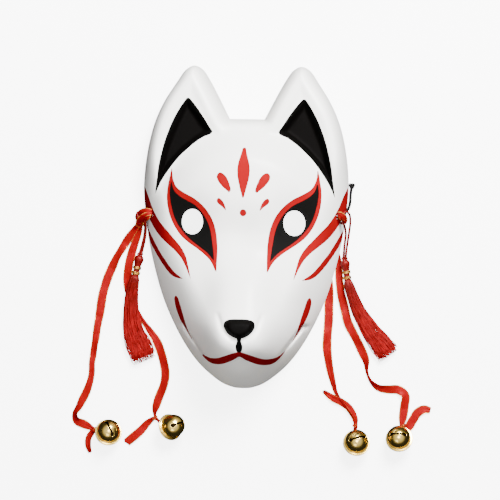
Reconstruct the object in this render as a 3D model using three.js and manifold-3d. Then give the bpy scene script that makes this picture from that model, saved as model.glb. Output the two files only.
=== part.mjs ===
// A fox mask of moulded plastic, lying face up, with a black elastic cord, red ribbons, tassels and bells.
// Millimetres, +Z up out of the face, +Y towards the ears, +X to the viewer's right.
// The origin is on the table, below the middle of the mask's outline.
import * as THREE from 'three';
import { mergeVertices } from 'three/addons/utils/BufferGeometryUtils.js';
import Module from 'manifold-3d';

const wasm = await Module();
wasm.setup();

// Driving dimensions

const mask = { width: 165.2, height: 260, depth: 86, wall: 2.0 };
// The carving below is drawn at this size and stretched to the mask's own.
const drawn = { width: 165.2, height: 260, depth: 86 };
const eyeHole = { x: 40, y: 3.2, halfWidth: 8.5, halfHeight: 9.9 };
const sideHole = { y: 10, z: 16.5, radius: 3.4 };
const rimLift = 2.4; // how far the cheeks' rim stands off the table
const touching = 0.3; // the gap between pieces that touch
const floorGap = 0.15; // the gap under what lies on the table

const ribbon = { width: 7, thickness: 0.5, gatheredWidth: 1.8, gatheredThickness: 0.8, knot: 2.2 };
const elastic = { diameter: 2, knot: 2 };
const tasselCord = { diameter: 1.1, hookRadius: 2.7 };
const tassel = { headRadius: 3.7, neckRadius: 2.5, bandWidth: 2.2, bandThickness: 0.7 };
const bell = {
  radius: 8.9, sideHeight: 5.4, backDepth: 5, wall: 0.7,
  flangeRadius: 10.8, flangeThickness: 1.2,
  loopRadius: 2, loopWire: 0.6,
  slotLength: 10.8, slotWidth: 1.6, slotEndRadius: 1.5,
};

// How finely the shapes are faceted

const facets = {
  outlineStep: 12, bell: 10, loop: 8, loopWire: 5, slotEnd: 6,
  elasticSteps: 46, tasselCordSteps: 29, tassel: 14, band: 10, cord: 6, eyeHole: 28, sideHole: 12, knot: 6,
};

// Small helpers

const clamp = (v, low, high) => Math.min(Math.max(v, low), high);

function smoothstep(from, to, v) {
  const t = clamp((v - from) / (to - from), 0, 1);
  return t * t * (3 - 2 * t);
}

const bump = (dx, dy) => Math.exp(-dx * dx - dy * dy);

const smoothMax = (a, b, softness) => {
  const d = Math.sqrt((a - b) ** 2 + softness * softness);
  return (a + b + d) / 2;
};

// A smooth curve of value against position, through [position, value] knots.
function through(knots, at) {
  const last = knots.length - 1;
  if (at <= knots[0][0]) return knots[0][1];
  if (at >= knots[last][0]) return knots[last][1];
  let i = 0;
  while (knots[i + 1][0] < at) i += 1;
  const slope = (a, b) => (knots[b][1] - knots[a][1]) / (knots[b][0] - knots[a][0]);
  const step = knots[i + 1][0] - knots[i][0];
  const startSlope = i > 0 ? slope(i - 1, i + 1) : slope(0, 1);
  const endSlope = i + 2 <= last ? slope(i, i + 2) : slope(last - 1, last);
  const t = (at - knots[i][0]) / step;
  const t2 = t * t;
  const t3 = t2 * t;
  return knots[i][1] * (2 * t3 - 3 * t2 + 1) + knots[i + 1][1] * (3 * t2 - 2 * t3)
    + step * (startSlope * (t3 - 2 * t2 + t) + endSlope * (t3 - t2));
}

// The distance from a point to an open run of points.
function distanceTo(points, x, y) {
  let best = Infinity;
  for (let i = 0; i + 1 < points.length; i += 1) {
    const [ax, ay] = points[i];
    const dx = points[i + 1][0] - ax;
    const dy = points[i + 1][1] - ay;
    const t = clamp(((x - ax) * dx + (y - ay) * dy) / (dx * dx + dy * dy), 0, 1);
    best = Math.min(best, Math.hypot(x - ax - t * dx, y - ay - t * dy));
  }
  return best;
}

function isInside(points, x, y) {
  let inside = false;
  for (let i = 0, j = points.length - 1; i < points.length; j = i, i += 1) {
    const [ax, ay] = points[i];
    const [bx, by] = points[j];
    if ((ay > y) !== (by > y) && x < ((bx - ax) * (y - ay)) / (by - ay) + ax) inside = !inside;
  }
  return inside;
}

// How deep a point lies inside a closed outline; below zero outside it.
function depthIn(points, x, y) {
  const away = distanceTo([...points, points[0]], x, y);
  return isInside(points, x, y) ? away : -away;
}

// Points along a smooth line through the given ones, which it keeps, no further apart than the step.
function splinePoints(points, step) {
  const curve = new THREE.SplineCurve(points.map(([x, y]) => new THREE.Vector2(x, y)));
  const spans = points.length - 1;
  const run = [];
  for (let i = 0; i < spans; i += 1) {
    const long = Math.hypot(points[i + 1][0] - points[i][0], points[i + 1][1] - points[i][1]);
    const pieces = Math.max(1, Math.round(long / step));
    for (let k = 0; k < pieces; k += 1) run.push(curve.getPoint((i + k / pieces) / spans));
  }
  run.push(curve.getPoint(1));
  return run.map((p) => [p.x, p.y]);
}

// The mask's outline, on the right of its middle line

const topEdge = { halfLength: 14.1, y: 87.2 };
const outlineKnots = [
  [topEdge.halfLength, topEdge.y], [24.1, 106.8], [31.3, 119.7], [36.7, 127], [43.6, 130], [50.6, 126.2],
  [56.7, 117.5], [67.6, 100.1], [75.5, 81.2], [80.6, 58], [82.6, 34], [81, 12], [77.6, -12], [72.6, -34],
  [66, -56], [57, -77.5], [46, -97], [34, -112.2], [19, -124.5], [8, -129.2], [0, -130],
];
const fineOutline = [[0, topEdge.y], ...splinePoints(outlineKnots, 4.5)];

// The form of the face, drawn at its nominal size: every number is in millimetres

const polarCentre = { x: 0, y: -30 };
const edgeRoll = [
  [-130, 28], [-100, 34], [-60, 34], [-20, 28], [10, 22], [40, 13], [60, 10], [130, 9],
];
const rollDraft = 0.1;
const midHeight = [
  [-130, 41], [-110, 46], [-90, 48], [-60, 49], [-25, 51], [0, 53.5], [25, 55],
  [50, 51.5], [70, 45], [87, 37], [130, 26],
];
const snoutHeight = [
  [-130, 0], [-120, 6], [-110, 16], [-100, 26.5], [-92, 31.5], [-84, 34], [-75, 33], [-60, 26],
  [-45, 18], [-32, 9.5], [-20, 3], [-6, 0],
];
const snoutHalfWidth = [[-120, 31], [-100, 33], [-80, 31], [-50, 26], [-20, 23]];
const mouthLine = [
  [0, -98.8], [8, -101.8], [16, -105], [22, -105.6], [27, -103.8], [31, -100.3], [36, -94.6],
  [42, -87], [48, -79],
];
const earHollow = [
  [45.6, 101.4], [25.9, 75.2], [37.4, 67.3], [46.6, 59.7], [58.4, 46.7], [65.6, 37.2], [70.4, 27.7],
  [68.7, 48], [65.6, 61.1], [60.7, 74.2], [55.1, 87.3], [49.6, 99.1],
];
const noseHalf = [
  [0, -70.4], [7, -70.8], [11, -72.8], [11.8, -76], [10, -80.6], [6, -84.3], [2.2, -85.8], [0, -86],
];
const nosePad = [...noseHalf, ...noseHalf.slice(1, -1).reverse().map(([x, y]) => [-x, y])];
const noseCreaseKnots = [[17.1, -67.2], [15.2, -73.2], [11.7, -81.1], [4.4, -86.8]];
const noseCrease = splinePoints(noseCreaseKnots, 4);
// Of each feature: its height or depth, its middle, how far it reaches, and where it starts and ends.
const rimLifted = { top: 46, topFull: 24, low: -82, lowFull: -56, inner: 48, outer: 60 };
const dome = { halfWidth: 82.6, fall: 12, from: 0, to: 40, inner: 50, outer: 84, blend: 2.5 };
const ear = { height: 31, fallLow: 10, lowFrom: 55, lowTo: 0, fallTip: 4, tipFrom: 85, tipTo: 130 };
const earEdge = { height: 1.6, fromRim: 12, reach: 4, low: 30, full: 60, inner: 20, outer: 34 };
const earFloor = { depth: 6, slope: 5.5 };
const socket = { depth: 5, x: 41, y: 2, halfWidth: 21, halfHeight: 22 };
const bridge = { depth: 4, y: -6, halfWidth: 20, halfHeight: 18 };
const cheek = { height: 2.5, x: 46, y: -44, halfWidth: 17, halfHeight: 20 };
const jaw = {
  depth: 6.5, sideLess: 3, sideFrom: 24, sideTo: 44, edge: -0.6, full: 3.2, fadeFrom: 44, fadeTo: 58,
};
const lipGroove = { depth: 1.7, reach: 1.6 };
const upperLip = { height: 2.6, x: 15, y: -94, halfWidth: 9.5, halfHeight: 8.5 };
const chin = { height: 3, y: -116, halfWidth: 15, halfHeight: 8 };
const nosePadForm = { height: 3.4, edge: -0.6, full: 4 };
const noseWing = { depth: 1.7, reach: 1.9, from: -64, full: -72 };
const philtrumForm = { depth: 1.6, reach: 1.7, top: -84, topFull: -88, low: -101, lowFull: -98 };

// The height of the rolled edge, from 0 at the rim to 1 where the face begins.
function rolled(fromRim, y) {
  const q = clamp(fromRim / through(edgeRoll, y), 0, 1) * (1 - rollDraft) + rollDraft;
  const start = Math.sqrt(rollDraft * (2 - rollDraft));
  return (Math.sqrt(q * (2 - q)) - start) / (1 - start);
}

function rimHeight(x, y) {
  const { top, topFull, low, lowFull, inner, outer } = rimLifted;
  return rimLift * smoothstep(top, topFull, y) * smoothstep(low, lowFull, y) * smoothstep(inner, outer, x);
}

// A rounded rise or hollow of one unit.
const mound = (form, x, y) => bump((x - (form.x ?? 0)) / form.halfWidth, (y - form.y) / form.halfHeight);

function forehead(x, y) {
  const fromMiddle = Math.hypot(x, y);
  const face = through(midHeight, y) * (1 - 0.6 * (x / dome.halfWidth) ** 2.2);
  const fall = smoothstep(dome.from, dome.to, y) * smoothstep(dome.inner, dome.outer, fromMiddle);
  const lowFall = ear.fallLow * smoothstep(ear.lowFrom, ear.lowTo, y);
  const tipFall = ear.fallTip * smoothstep(ear.tipFrom, ear.tipTo, y);
  return smoothMax(face - dome.fall * fall, ear.height - lowFall - tipFall, dome.blend);
}

function ears(x, y, fromRim) {
  const outwards = smoothstep(earEdge.inner, earEdge.outer, x + y / 8);
  const onEar = outwards * smoothstep(earEdge.low, earEdge.full, y);
  const ridge = earEdge.height * Math.exp(-(((fromRim - earEdge.fromRim) / earEdge.reach) ** 2)) * onEar;
  return ridge - earFloor.depth * smoothstep(0, earFloor.slope, depthIn(earHollow, x, y));
}

function eyesAndBridge(x, y) {
  const fromSocket = ((x - socket.x) / socket.halfWidth) ** 2 + ((y - socket.y) / socket.halfHeight) ** 2;
  const hollow = socket.depth * Math.exp(-(fromSocket ** 1.4));
  return cheek.height * mound(cheek, x, y) - hollow - bridge.depth * mound(bridge, x, y);
}

function snout(x, y) {
  const across = 1 / (1 + (x / through(snoutHalfWidth, y)) ** 3.4);
  return through(snoutHeight, y) * across;
}

function mouth(x, y) {
  const line = through(mouthLine, x);
  const aside = 0.5;
  const lean = (through(mouthLine, x + aside) - through(mouthLine, x - aside)) / (2 * aside);
  const below = (line - y) / Math.hypot(1, lean);
  const fade = 1 - smoothstep(jaw.fadeFrom, jaw.fadeTo, x);
  const drop = jaw.depth - jaw.sideLess * smoothstep(jaw.sideFrom, jaw.sideTo, x);
  const step = drop * smoothstep(jaw.edge, jaw.full, below) * fade;
  const groove = lipGroove.depth * Math.exp(-((below / lipGroove.reach) ** 2)) * fade;
  return upperLip.height * mound(upperLip, x, y) + chin.height * mound(chin, x, y) - step - groove;
}

function nose(x, y) {
  const pad = nosePadForm.height * smoothstep(nosePadForm.edge, nosePadForm.full, depthIn(nosePad, x, y));
  const fromCrease = distanceTo(noseCrease, x, y) / noseWing.reach;
  const wing = noseWing.depth * Math.exp(-(fromCrease ** 2)) * smoothstep(noseWing.from, noseWing.full, y);
  const { depth, reach, top, topFull, low, lowFull } = philtrumForm;
  const groove = depth * Math.exp(-((x / reach) ** 2)) * smoothstep(top, topFull, y);
  return pad - wing - groove * smoothstep(low, lowFull, y);
}

// Heights of the front at a drawn point, x taken as positive.
function frontDrawn(x, y) {
  const side = Math.abs(x);
  const rim = rimHeight(side, y);
  if (!isInside(fineOutline, side, y)) return rim;
  const fromRim = distanceTo(fineOutline, side, y);
  const face = forehead(side, y) + ears(side, y, fromRim) + eyesAndBridge(side, y)
    + snout(side, y) + mouth(side, y) + nose(side, y);
  return rim + (face - rim) * rolled(fromRim, y);
}

// From the drawn size to the mask's own

const stretch = {
  x: mask.width / drawn.width,
  y: mask.height / drawn.height,
  z: mask.depth / drawn.depth,
};
const front = (x, y) => stretch.z * frontDrawn(x / stretch.x, y / stretch.y);
const rimAt = (x, y) => stretch.z * rimHeight(Math.abs(x / stretch.x), y / stretch.y);

// The back of the wall: the lowest that the front allows, a wall's thickness away on every side.
function back(x, y) {
  let lowest = front(x, y) - mask.wall;
  for (const share of [0.5, 0.8, 1]) {
    for (let k = 0; k < 12; k += 1) {
      const turn = (k * Math.PI) / 6;
      const away = share * mask.wall;
      const z = front(x + away * Math.cos(turn), y + away * Math.sin(turn));
      lowest = Math.min(lowest, z - mask.wall * Math.sqrt(1 - share * share));
    }
  }
  return Math.max(lowest, rimAt(x, y));
}

// Solids for cutting and joining

function toSolid(geometry) {
  const bare = geometry.clone();
  bare.deleteAttribute('normal');
  bare.deleteAttribute('uv');
  const merged = mergeVertices(bare, 1e-4);
  return new wasm.Manifold(new wasm.Mesh({
    numProp: 3,
    vertProperties: new Float32Array(merged.attributes.position.array),
    triVerts: new Uint32Array(merged.index.array),
  }));
}

// A cut leaves corners a hair apart: they become one corner, and the slivers between them go.
function toGeometry(solid, hair = 0.004) {
  const mesh = solid.getMesh();
  const merged = mergeVertices(indexed(mesh.vertProperties, mesh.triVerts), hair);
  const corners = Array.from(merged.index.array);
  const kept = corners.filter((v, i) => {
    const [a, b, c] = corners.slice(i - (i % 3), i - (i % 3) + 3);
    return a !== b && b !== c && c !== a;
  });
  merged.setIndex(kept);
  return merged;
}

function indexed(positions, index) {
  const geometry = new THREE.BufferGeometry();
  geometry.setAttribute('position', new THREE.Float32BufferAttribute(positions, 3));
  geometry.setIndex(Array.from(index));
  return geometry;
}

// A solid through rows of points: each row is a ring, and flat fans close both ends.
function loft(rings) {
  const sides = rings[0].length;
  const index = [];
  for (let r = 0; r + 1 < rings.length; r += 1) {
    for (let s = 0; s < sides; s += 1) {
      const a = r * sides + s;
      const b = r * sides + ((s + 1) % sides);
      index.push(a, b, a + sides, b, b + sides, a + sides);
    }
  }
  const end = (rings.length - 1) * sides;
  for (let s = 1; s + 1 < sides; s += 1) {
    index.push(0, s + 1, s);
    index.push(end, end + s, end + s + 1);
  }
  return indexed(rings.flat(2), index);
}

// The mask's shell

const outerRings = [
  0, 0.03, 0.07, 0.12, 0.17, 0.23, 0.29, 0.35, 0.41, 0.47, 0.53, 0.59, 0.65, 0.71, 0.77, 0.83, 0.89, 0.95,
];
const innerRings = [0, 0.06, 0.14, 0.25, 0.38, 0.53, 0.7, 0.88];
const edgeRun = 13; // how far the rows of points run square to the outline before they turn to the middle

// The whole outline, anticlockwise.
function outline() {
  const right = [[0, topEdge.y], ...splinePoints(outlineKnots, facets.outlineStep)];
  const left = right.slice(1, -1).reverse().map(([x, y]) => [-x, y]);
  return [...right, ...left].reverse().map(([x, y]) => [x * stretch.x, y * stretch.y]);
}

// The way inwards, square to the outline, at each of its points.
function inwards(points) {
  return points.map((p, i) => {
    const before = points[(i + points.length - 1) % points.length];
    const after = points[(i + 1) % points.length];
    const along = [after[0] - before[0], after[1] - before[1]];
    const long = Math.hypot(...along);
    return [-along[1] / long, along[0] / long];
  });
}

// Rows of points from the outline to the middle, closest together near the rim.
function rowsToMiddle(points, shares, height) {
  const normals = inwards(points);
  const middle = [polarCentre.x * stretch.x, polarCentre.y * stretch.y];
  return shares.map((share) => points.map(([x, y], i) => {
    const turn = [x + normals[i][0] * edgeRun, y + normals[i][1] * edgeRun];
    const [a, b, c] = [(1 - share) ** 2, 2 * share * (1 - share), share ** 2];
    const px = a * x + b * turn[0] + c * middle[0];
    const py = a * y + b * turn[1] + c * middle[1];
    return [px, py, share === 0 ? rimAt(px, py) : height(px, py)];
  }));
}

function shellGeometry() {
  const rim = outline();
  const normals = inwards(rim);
  const rimInside = rim.map(([x, y], i) => [x + normals[i][0] * mask.wall, y + normals[i][1] * mask.wall]);
  const inner = rowsToMiddle(rimInside, innerRings, back).reverse();
  const outer = rowsToMiddle(rim, outerRings, front);
  const rings = [...inner, ...outer];
  const surfaceOf = (r) => (r < inner.length - 1 ? back : front);
  const sides = rim.length;
  const positions = rings.flat(2);
  const index = [];
  // Of a square's two diagonals, the one that lies closer to the surface.
  const miss = (a, b, surface) => {
    const x = (positions[3 * a] + positions[3 * b]) / 2;
    const y = (positions[3 * a + 1] + positions[3 * b + 1]) / 2;
    return Math.abs((positions[3 * a + 2] + positions[3 * b + 2]) / 2 - surface(x, y));
  };
  for (let r = 0; r + 1 < rings.length; r += 1) {
    for (let s = 0; s < sides; s += 1) {
      const a = r * sides + s;
      const b = r * sides + ((s + 1) % sides);
      const c = b + sides;
      const d = a + sides;
      const onRim = r === inner.length - 1;
      if (onRim || miss(b, d, surfaceOf(r)) < miss(a, c, surfaceOf(r))) index.push(a, b, d, b, c, d);
      else index.push(a, b, c, a, c, d);
    }
  }
  const middle = [polarCentre.x * stretch.x, polarCentre.y * stretch.y];
  const backMiddle = positions.length / 3;
  const frontMiddle = backMiddle + 1;
  positions.push(...middle, back(...middle), ...middle, front(...middle));
  const lastRing = (rings.length - 1) * sides;
  for (let s = 0; s < sides; s += 1) {
    const next = (s + 1) % sides;
    index.push(backMiddle, next, s);
    index.push(frontMiddle, lastRing + s, lastRing + next);
  }
  return indexed(positions, index);
}

// How far from the middle line the outside of the wall is, at a place up the face and a height.
function wallX(y, z) {
  let low = 30 * stretch.x;
  let high = 90 * stretch.x;
  for (let i = 0; i < 30; i += 1) {
    const x = (low + high) / 2;
    if (front(x, y) > z) low = x;
    else high = x;
  }
  return low;
}

const wallOut = wallX(sideHole.y, sideHole.z);

function eyeCutter(side) {
  const cutter = new THREE.CylinderGeometry(1, 1, mask.depth * 2, facets.eyeHole);
  cutter.rotateX(Math.PI / 2);
  cutter.scale(eyeHole.halfWidth, eyeHole.halfHeight, 1);
  cutter.translate(side * eyeHole.x * stretch.x, eyeHole.y * stretch.y, 0);
  return cutter;
}

function sideCutter(side) {
  const reach = 9;
  const cutter = new THREE.CylinderGeometry(sideHole.radius, sideHole.radius, 2 * reach, facets.sideHole);
  cutter.rotateZ(Math.PI / 2);
  cutter.translate(side * wallOut, sideHole.y, sideHole.z);
  return cutter;
}

function maskGeometry() {
  let solid = toSolid(shellGeometry());
  for (const side of [-1, 1]) {
    solid = solid.subtract(toSolid(eyeCutter(side))).subtract(toSolid(sideCutter(side)));
  }
  return toGeometry(solid);
}

// Cords and ribbons are drawn for a side hole at this place, and keep their place beside it.

const drawnHole = { x: 74.6, y: 10, z: 16.5 };
const moved = ([x, y, z, ...rest]) => [
  x + Math.sign(x) * (wallOut - drawnHole.x),
  y + sideHole.y - drawnHole.y,
  z + (sideHole.z - drawnHole.z) * smoothstep(0, drawnHole.z, z),
  ...rest,
];

function routeOf(points) {
  const places = points.map(([x, y, z]) => new THREE.Vector3(x, y, z));
  return new THREE.CatmullRomCurve3(places, false, 'centripetal');
}

function cordGeometry(points, diameter, steps) {
  const section = new THREE.Shape();
  for (let s = 0; s < facets.cord; s += 1) {
    const turn = (s * 2 * Math.PI) / facets.cord;
    const place = [(diameter / 2) * Math.cos(turn), (diameter / 2) * Math.sin(turn)];
    if (s === 0) section.moveTo(...place);
    else section.lineTo(...place);
  }
  section.closePath();
  return new THREE.ExtrudeGeometry(section, { steps, extrudePath: routeOf(points), curveSegments: 1 });
}

// A flat band along its route. Each point is [x, y, z, width]: a width of 1 is the whole ribbon,
// and 0 is the ribbon gathered into a cord.
function bandAlong(points, step, above) {
  const path = routeOf(points);
  const spans = points.length - 1;
  const rows = [];
  for (let i = 0; i < spans; i += 1) {
    const [ax, ay, az] = points[i];
    const [bx, by, bz] = points[i + 1];
    const pieces = Math.max(1, Math.round(Math.hypot(bx - ax, by - ay, bz - az) / step));
    for (let k = 0; k < pieces; k += 1) rows.push((i + k / pieces) / spans);
  }
  rows.push(1);
  const widths = points.map((p, i) => [i / spans, p[3]]);
  let flat = new THREE.Vector3(0, 1, 0);
  return loft(rows.map((at) => {
    const centre = path.getPoint(at);
    const ahead = path.getTangent(at);
    const level = new THREE.Vector3(-ahead.y, ahead.x, 0);
    if (level.length() > 0.35) flat = level.multiplyScalar(Math.sign(level.dot(flat)) || 1);
    const wide = flat.clone().addScaledVector(ahead, -flat.dot(ahead)).normalize();
    const deep = new THREE.Vector3().crossVectors(ahead, wide);
    const share = clamp(through(widths, at), 0, 1);
    const half = (ribbon.gatheredWidth + (ribbon.width - ribbon.gatheredWidth) * share) / 2;
    const thick = (ribbon.gatheredThickness + (ribbon.thickness - ribbon.gatheredThickness) * share) / 2;
    centre.z = Math.max(centre.z, half * Math.abs(wide.z) + thick * Math.abs(deep.z) + above);
    return [[1, 1], [-1, 1], [-1, -1], [1, -1]].map(([w, d]) => {
      const p = centre.clone().addScaledVector(wide, half * w).addScaledVector(deep, thick * d);
      return [p.x, p.y, p.z];
    });
  }));
}

function lump([x, y, z], radius, flatness = 0.7) {
  const ball = new THREE.SphereGeometry(radius, facets.knot, facets.knot - 2);
  ball.rotateX(Math.PI / 2);
  ball.scale(1, 1, flatness);
  ball.translate(x, y, z);
  return ball;
}

function joined(pieces) {
  return toGeometry(pieces.map(toSolid).reduce((whole, piece) => whole.add(piece)));
}

// Most of a circle round a strand, open towards a side, for a cord that is hooked over the strand.
function hook(centre, strand, open, radius, opening = 28, steps = 6) {
  const axis = new THREE.Vector3(...strand).normalize();
  const towards = new THREE.Vector3(...open);
  const u = towards.addScaledVector(axis, -towards.dot(axis)).normalize();
  const v = new THREE.Vector3().crossVectors(axis, u);
  const points = [];
  for (let i = 0; i <= steps; i += 1) {
    const turn = THREE.MathUtils.degToRad(opening + ((360 - 2 * opening) * i) / steps);
    const p = new THREE.Vector3(...centre).addScaledVector(u, radius * Math.cos(turn));
    p.addScaledVector(v, radius * Math.sin(turn));
    points.push([p.x, p.y, p.z]);
  }
  return points;
}

// Bells: where each lies, which way its slotted dome leans, how far, and how it is turned on its own axis.

const bells = {
  left_outer: { x: -107.1, y: -166.9, lean: 64, tilt: 24, turn: -37 },
  left_inner: { x: -57.4, y: -161.8, lean: 28, tilt: 42, turn: 80 },
  right_inner: { x: 92.2, y: -171, lean: 85, tilt: 24, turn: 21 },
  right_outer: { x: 126.2, y: -167, lean: 108, tilt: 24, turn: -18 },
};
const loopMiddle = bell.flangeThickness / 2 + bell.backDepth + bell.loopRadius - bell.loopWire + 0.1;

function arc(radius, depth, rise, from, to, steps) {
  const points = [];
  for (let i = 0; i <= steps; i += 1) {
    const a = THREE.MathUtils.degToRad(from + ((to - from) * i) / steps);
    points.push([Math.abs(a) === Math.PI / 2 ? 0 : radius * Math.cos(a), rise + depth * Math.sin(a)]);
  }
  return points;
}

function bellBody(skin, flange) {
  const half = bell.flangeThickness / 2;
  const r = bell.radius - skin;
  const profile = [...arc(r, bell.backDepth - skin, -half, -90, 0, 2)];
  if (flange) profile.push([bell.flangeRadius, -half], [bell.flangeRadius, half], [bell.radius + 0.2, half]);
  profile.push(...arc(r, r, bell.sideHeight, 0, 90, 4));
  const body = new THREE.LatheGeometry(profile.map(([x, y]) => new THREE.Vector2(x, y)), facets.bell);
  return toSolid(body.rotateX(Math.PI / 2));
}

function bellSolid() {
  const hollow = bellBody(bell.wall, false);
  const loop = new THREE.TorusGeometry(bell.loopRadius, bell.loopWire, facets.loopWire, facets.loop);
  loop.rotateX(Math.PI / 2);
  loop.translate(0, 0, -loopMiddle);
  let solid = bellBody(0, true).add(toSolid(loop)).subtract(hollow);
  const domeTop = bell.sideHeight + bell.radius;
  const cutDepth = bell.radius * 0.9;
  const slot = new THREE.BoxGeometry(bell.slotWidth, bell.slotLength, cutDepth);
  solid = solid.subtract(toSolid(slot.translate(0, 0, domeTop)));
  for (const end of [-1, 1]) {
    const wide = bell.slotEndRadius;
    const round = new THREE.CylinderGeometry(wide, wide, cutDepth, facets.slotEnd);
    round.rotateX(Math.PI / 2);
    solid = solid.subtract(toSolid(round.translate(0, (end * bell.slotLength) / 2, domeTop)));
  }
  return solid;
}

const oneBell = toGeometry(bellSolid());

// Each bell rests on the table: its geometry, the middle of its loop, and the way through the loop.
function placedBell({ x, y, lean, tilt, turn }) {
  const matrix = new THREE.Matrix4().makeRotationZ(THREE.MathUtils.degToRad(lean));
  matrix.multiply(new THREE.Matrix4().makeRotationY(THREE.MathUtils.degToRad(tilt)));
  matrix.multiply(new THREE.Matrix4().makeRotationZ(THREE.MathUtils.degToRad(turn)));
  const geometry = oneBell.clone().applyMatrix4(matrix);
  geometry.computeBoundingBox();
  const rise = floorGap - geometry.boundingBox.min.z;
  const at = moved([x, y, 0]);
  geometry.translate(at[0], at[1], rise);
  const loop = new THREE.Vector3(0, 0, -loopMiddle).applyMatrix4(matrix);
  const way = new THREE.Vector3(0, 1, 0).transformDirection(matrix);
  return { geometry, loop: loop.add(new THREE.Vector3(at[0], at[1], rise)), way };
}

const placed = Object.fromEntries(Object.entries(bells).map(([name, b]) => [name, placedBell(b)]));

// The ribbon's turn round the wire of a bell's loop: [along the way through it, out towards the knot].
const turnRoundWire = [[-2.2, 4.2], [-2.8, 1.4], [-1.2, 0], [1.2, 0], [2.8, 1.4], [2.2, 4.2]];

function throughLoop(name, knot) {
  const { loop, way } = placed[name];
  const out = new THREE.Vector3(...knot).sub(loop);
  out.addScaledVector(way, -out.dot(way)).normalize();
  const turn = turnRoundWire.map(([along, away]) => {
    const p = loop.clone().addScaledVector(way, along).addScaledVector(out, away);
    return [p.x, p.y, away > 2 ? Math.min(p.z, loop.z) - 0.8 : p.z, 0];
  });
  const apart = ribbon.gatheredWidth * 0.6;
  const inKnot = (by) => {
    const p = new THREE.Vector3(...knot).addScaledVector(way, by);
    return [p.x, p.y, p.z, 0];
  };
  return [inKnot(-apart), ...turn, inKnot(apart)];
}

// Ribbons

const leftKnot = [-84.4, 3.2, 6.4];
const leftOuter = [
  [...leftKnot, 0.3], [-88.6, -2.6, 4.4, 0.6], [-93, -8.6, 2.6, 0.85], [-97.8, -16, 0.9, 0.95],
  [-104.8, -28.6, 0.4, 1], [-110.4, -41.7, 0.4, 1], [-114.5, -56.2, 0.4, 1], [-116.4, -69.3, 0.4, 1],
  [-118.4, -82.3, 0.4, 0.8], [-120.3, -96.8, 0.4, 0.8], [-122.2, -111.3, 0.4, 0.6],
  [-122.6, -121.4, 0.4, 0.6],
  [-126.2, -134.5, 0.4, 0.9], [-131.8, -146.2, 0.4, 1], [-135.2, -153, 0.4, 0.95], [-133.6, -159, 0.4, 0.95],
  [-127.6, -161.8, 0.6, 0.95], [-122.4, -164.2, 1.4, 0.5], [-118.8, -165.8, 1.7, 0],
];
const leftInner = [
  [...leftKnot, 0.3], [-85.6, -3.4, 4, 0.6], [-88.4, -12.5, 2.2, 0.8], [-91.6, -22.6, 0.8, 0.95],
  [-93.9, -32.7, 0.4, 1], [-94.7, -44.3, 0.4, 1], [-92.7, -57.2, 0.4, 0.9], [-88.4, -66.6, 0.4, 0.6],
  [-83, -75.1, 0.4, 0.35], [-76.3, -84.4, 0.4, 0.6], [-70.3, -92.9, 0.4, 0.9], [-65.8, -104.4, 0.4, 1],
  [-62.7, -118.7, 0.4, 1], [-63.9, -128.9, 0.4, 1], [-68.2, -140.5, 0.4, 0.9], [-70.4, -149.2, 1, 0.5],
  [-70, -155.4, 1.8, 0],
];
// The loop that ties the left ribbon to the mask: out of the side hole, and back under the rim.
const leftTie = [
  [-84.5, 4, 7, 0.3], [-85.6, 7, 9.4, 0.35], [-82, 10.8, 15, 0.3], [-78.6, 11, 17.2, 0],
  [-74.5, 10.6, 16.8, 0],
  [-70.6, 9.4, 13, 0], [-70.8, 7.8, 8, 0], [-74, 5.4, 2.4, 0], [-77.5, 3.6, 1, 0], [-81.6, 2.4, 1, 0],
  [-84, 2.4, 2.6, 0], [-84.4, 2.6, 5, 0],
];
const leftOuterTail = [
  [-118.8, -165.8, 1.7, 0.1], [-121.6, -168.4, 0.8, 0.5], [-124.2, -173, 0.4, 0.55],
  [-124.3, -179, 0.4, 0.5], [-122.4, -185, 0.4, 0.1],
];
const leftInnerTail = [
  [-70, -155.4, 1.8, 0.1], [-75.6, -158.8, 0.8, 0.6], [-81, -164.8, 0.4, 0.9], [-87, -170.4, 0.4, 1],
  [-93.6, -176, 0.4, 0.9],
];
// The right ribbon from one bell to the other, with its fold standing out of the side hole.
const rightRibbon = [
  [128.6, -157.6, 1.7, 0.3], [129.4, -150.7, 0.5, 0.9], [130.5, -141.4, 0.4, 1], [131, -133.4, 0.4, 1],
  [126, -128.8, 0.4, 1], [117.5, -128.4, 0.4, 1], [108.8, -127, 0.4, 0.8], [103, -122.2, 0.4, 0.5],
  [100, -115.4, 0.4, 0.4], [98.6, -105.4, 0.4, 0.9], [94.3, -95.4, 0.4, 1], [89.1, -85.5, 0.4, 1],
  [84, -75.5, 0.4, 1], [81, -64.1, 0.4, 1], [78.2, -52.7, 0.4, 1], [76.4, -41.2, 0.4, 0.8],
  [75.8, -32.6, 0.5, 0.7], [75.6, -23.9, 0.8, 0.3], [73.6, -15, 1.2, 0], [70.4, -5, 3.6, 0], [68.6, 4, 9, 0],
  [70.4, 8.4, 14, 0], [73.6, 8.9, 15.2, 0], [76.6, 8.9, 15.4, 0], [79.2, 8.5, 16.6, 0.35],
  [80.2, 8.3, 18.4, 0.45], [79, 8.4, 20, 0.35], [76.8, 8.7, 19.4, 0], [74.4, 8.9, 17.7, 0],
  [70.6, 8.7, 17.2, 0], [66.2, 4.6, 12.6, 0], [63.6, -5, 6, 0], [62.6, -18, 1.6, 0], [64, -30, 0.7, 0.3],
  [67.4, -40, 0.5, 0.8], [68.4, -50, 0.4, 1], [68.4, -60, 0.4, 1], [68.4, -73, 0.4, 1],
  [67.6, -87.4, 0.4, 1],
  [67.6, -97.4, 0.4, 1], [69.8, -111.7, 0.4, 0.8], [72.9, -124.6, 0.4, 0.6], [76.4, -134.2, 0.4, 0.4],
  [83.3, -143.6, 0.4, 0.4], [88.6, -151.2, 0.6, 0.4], [91.4, -158, 1.7, 0],
];
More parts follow.
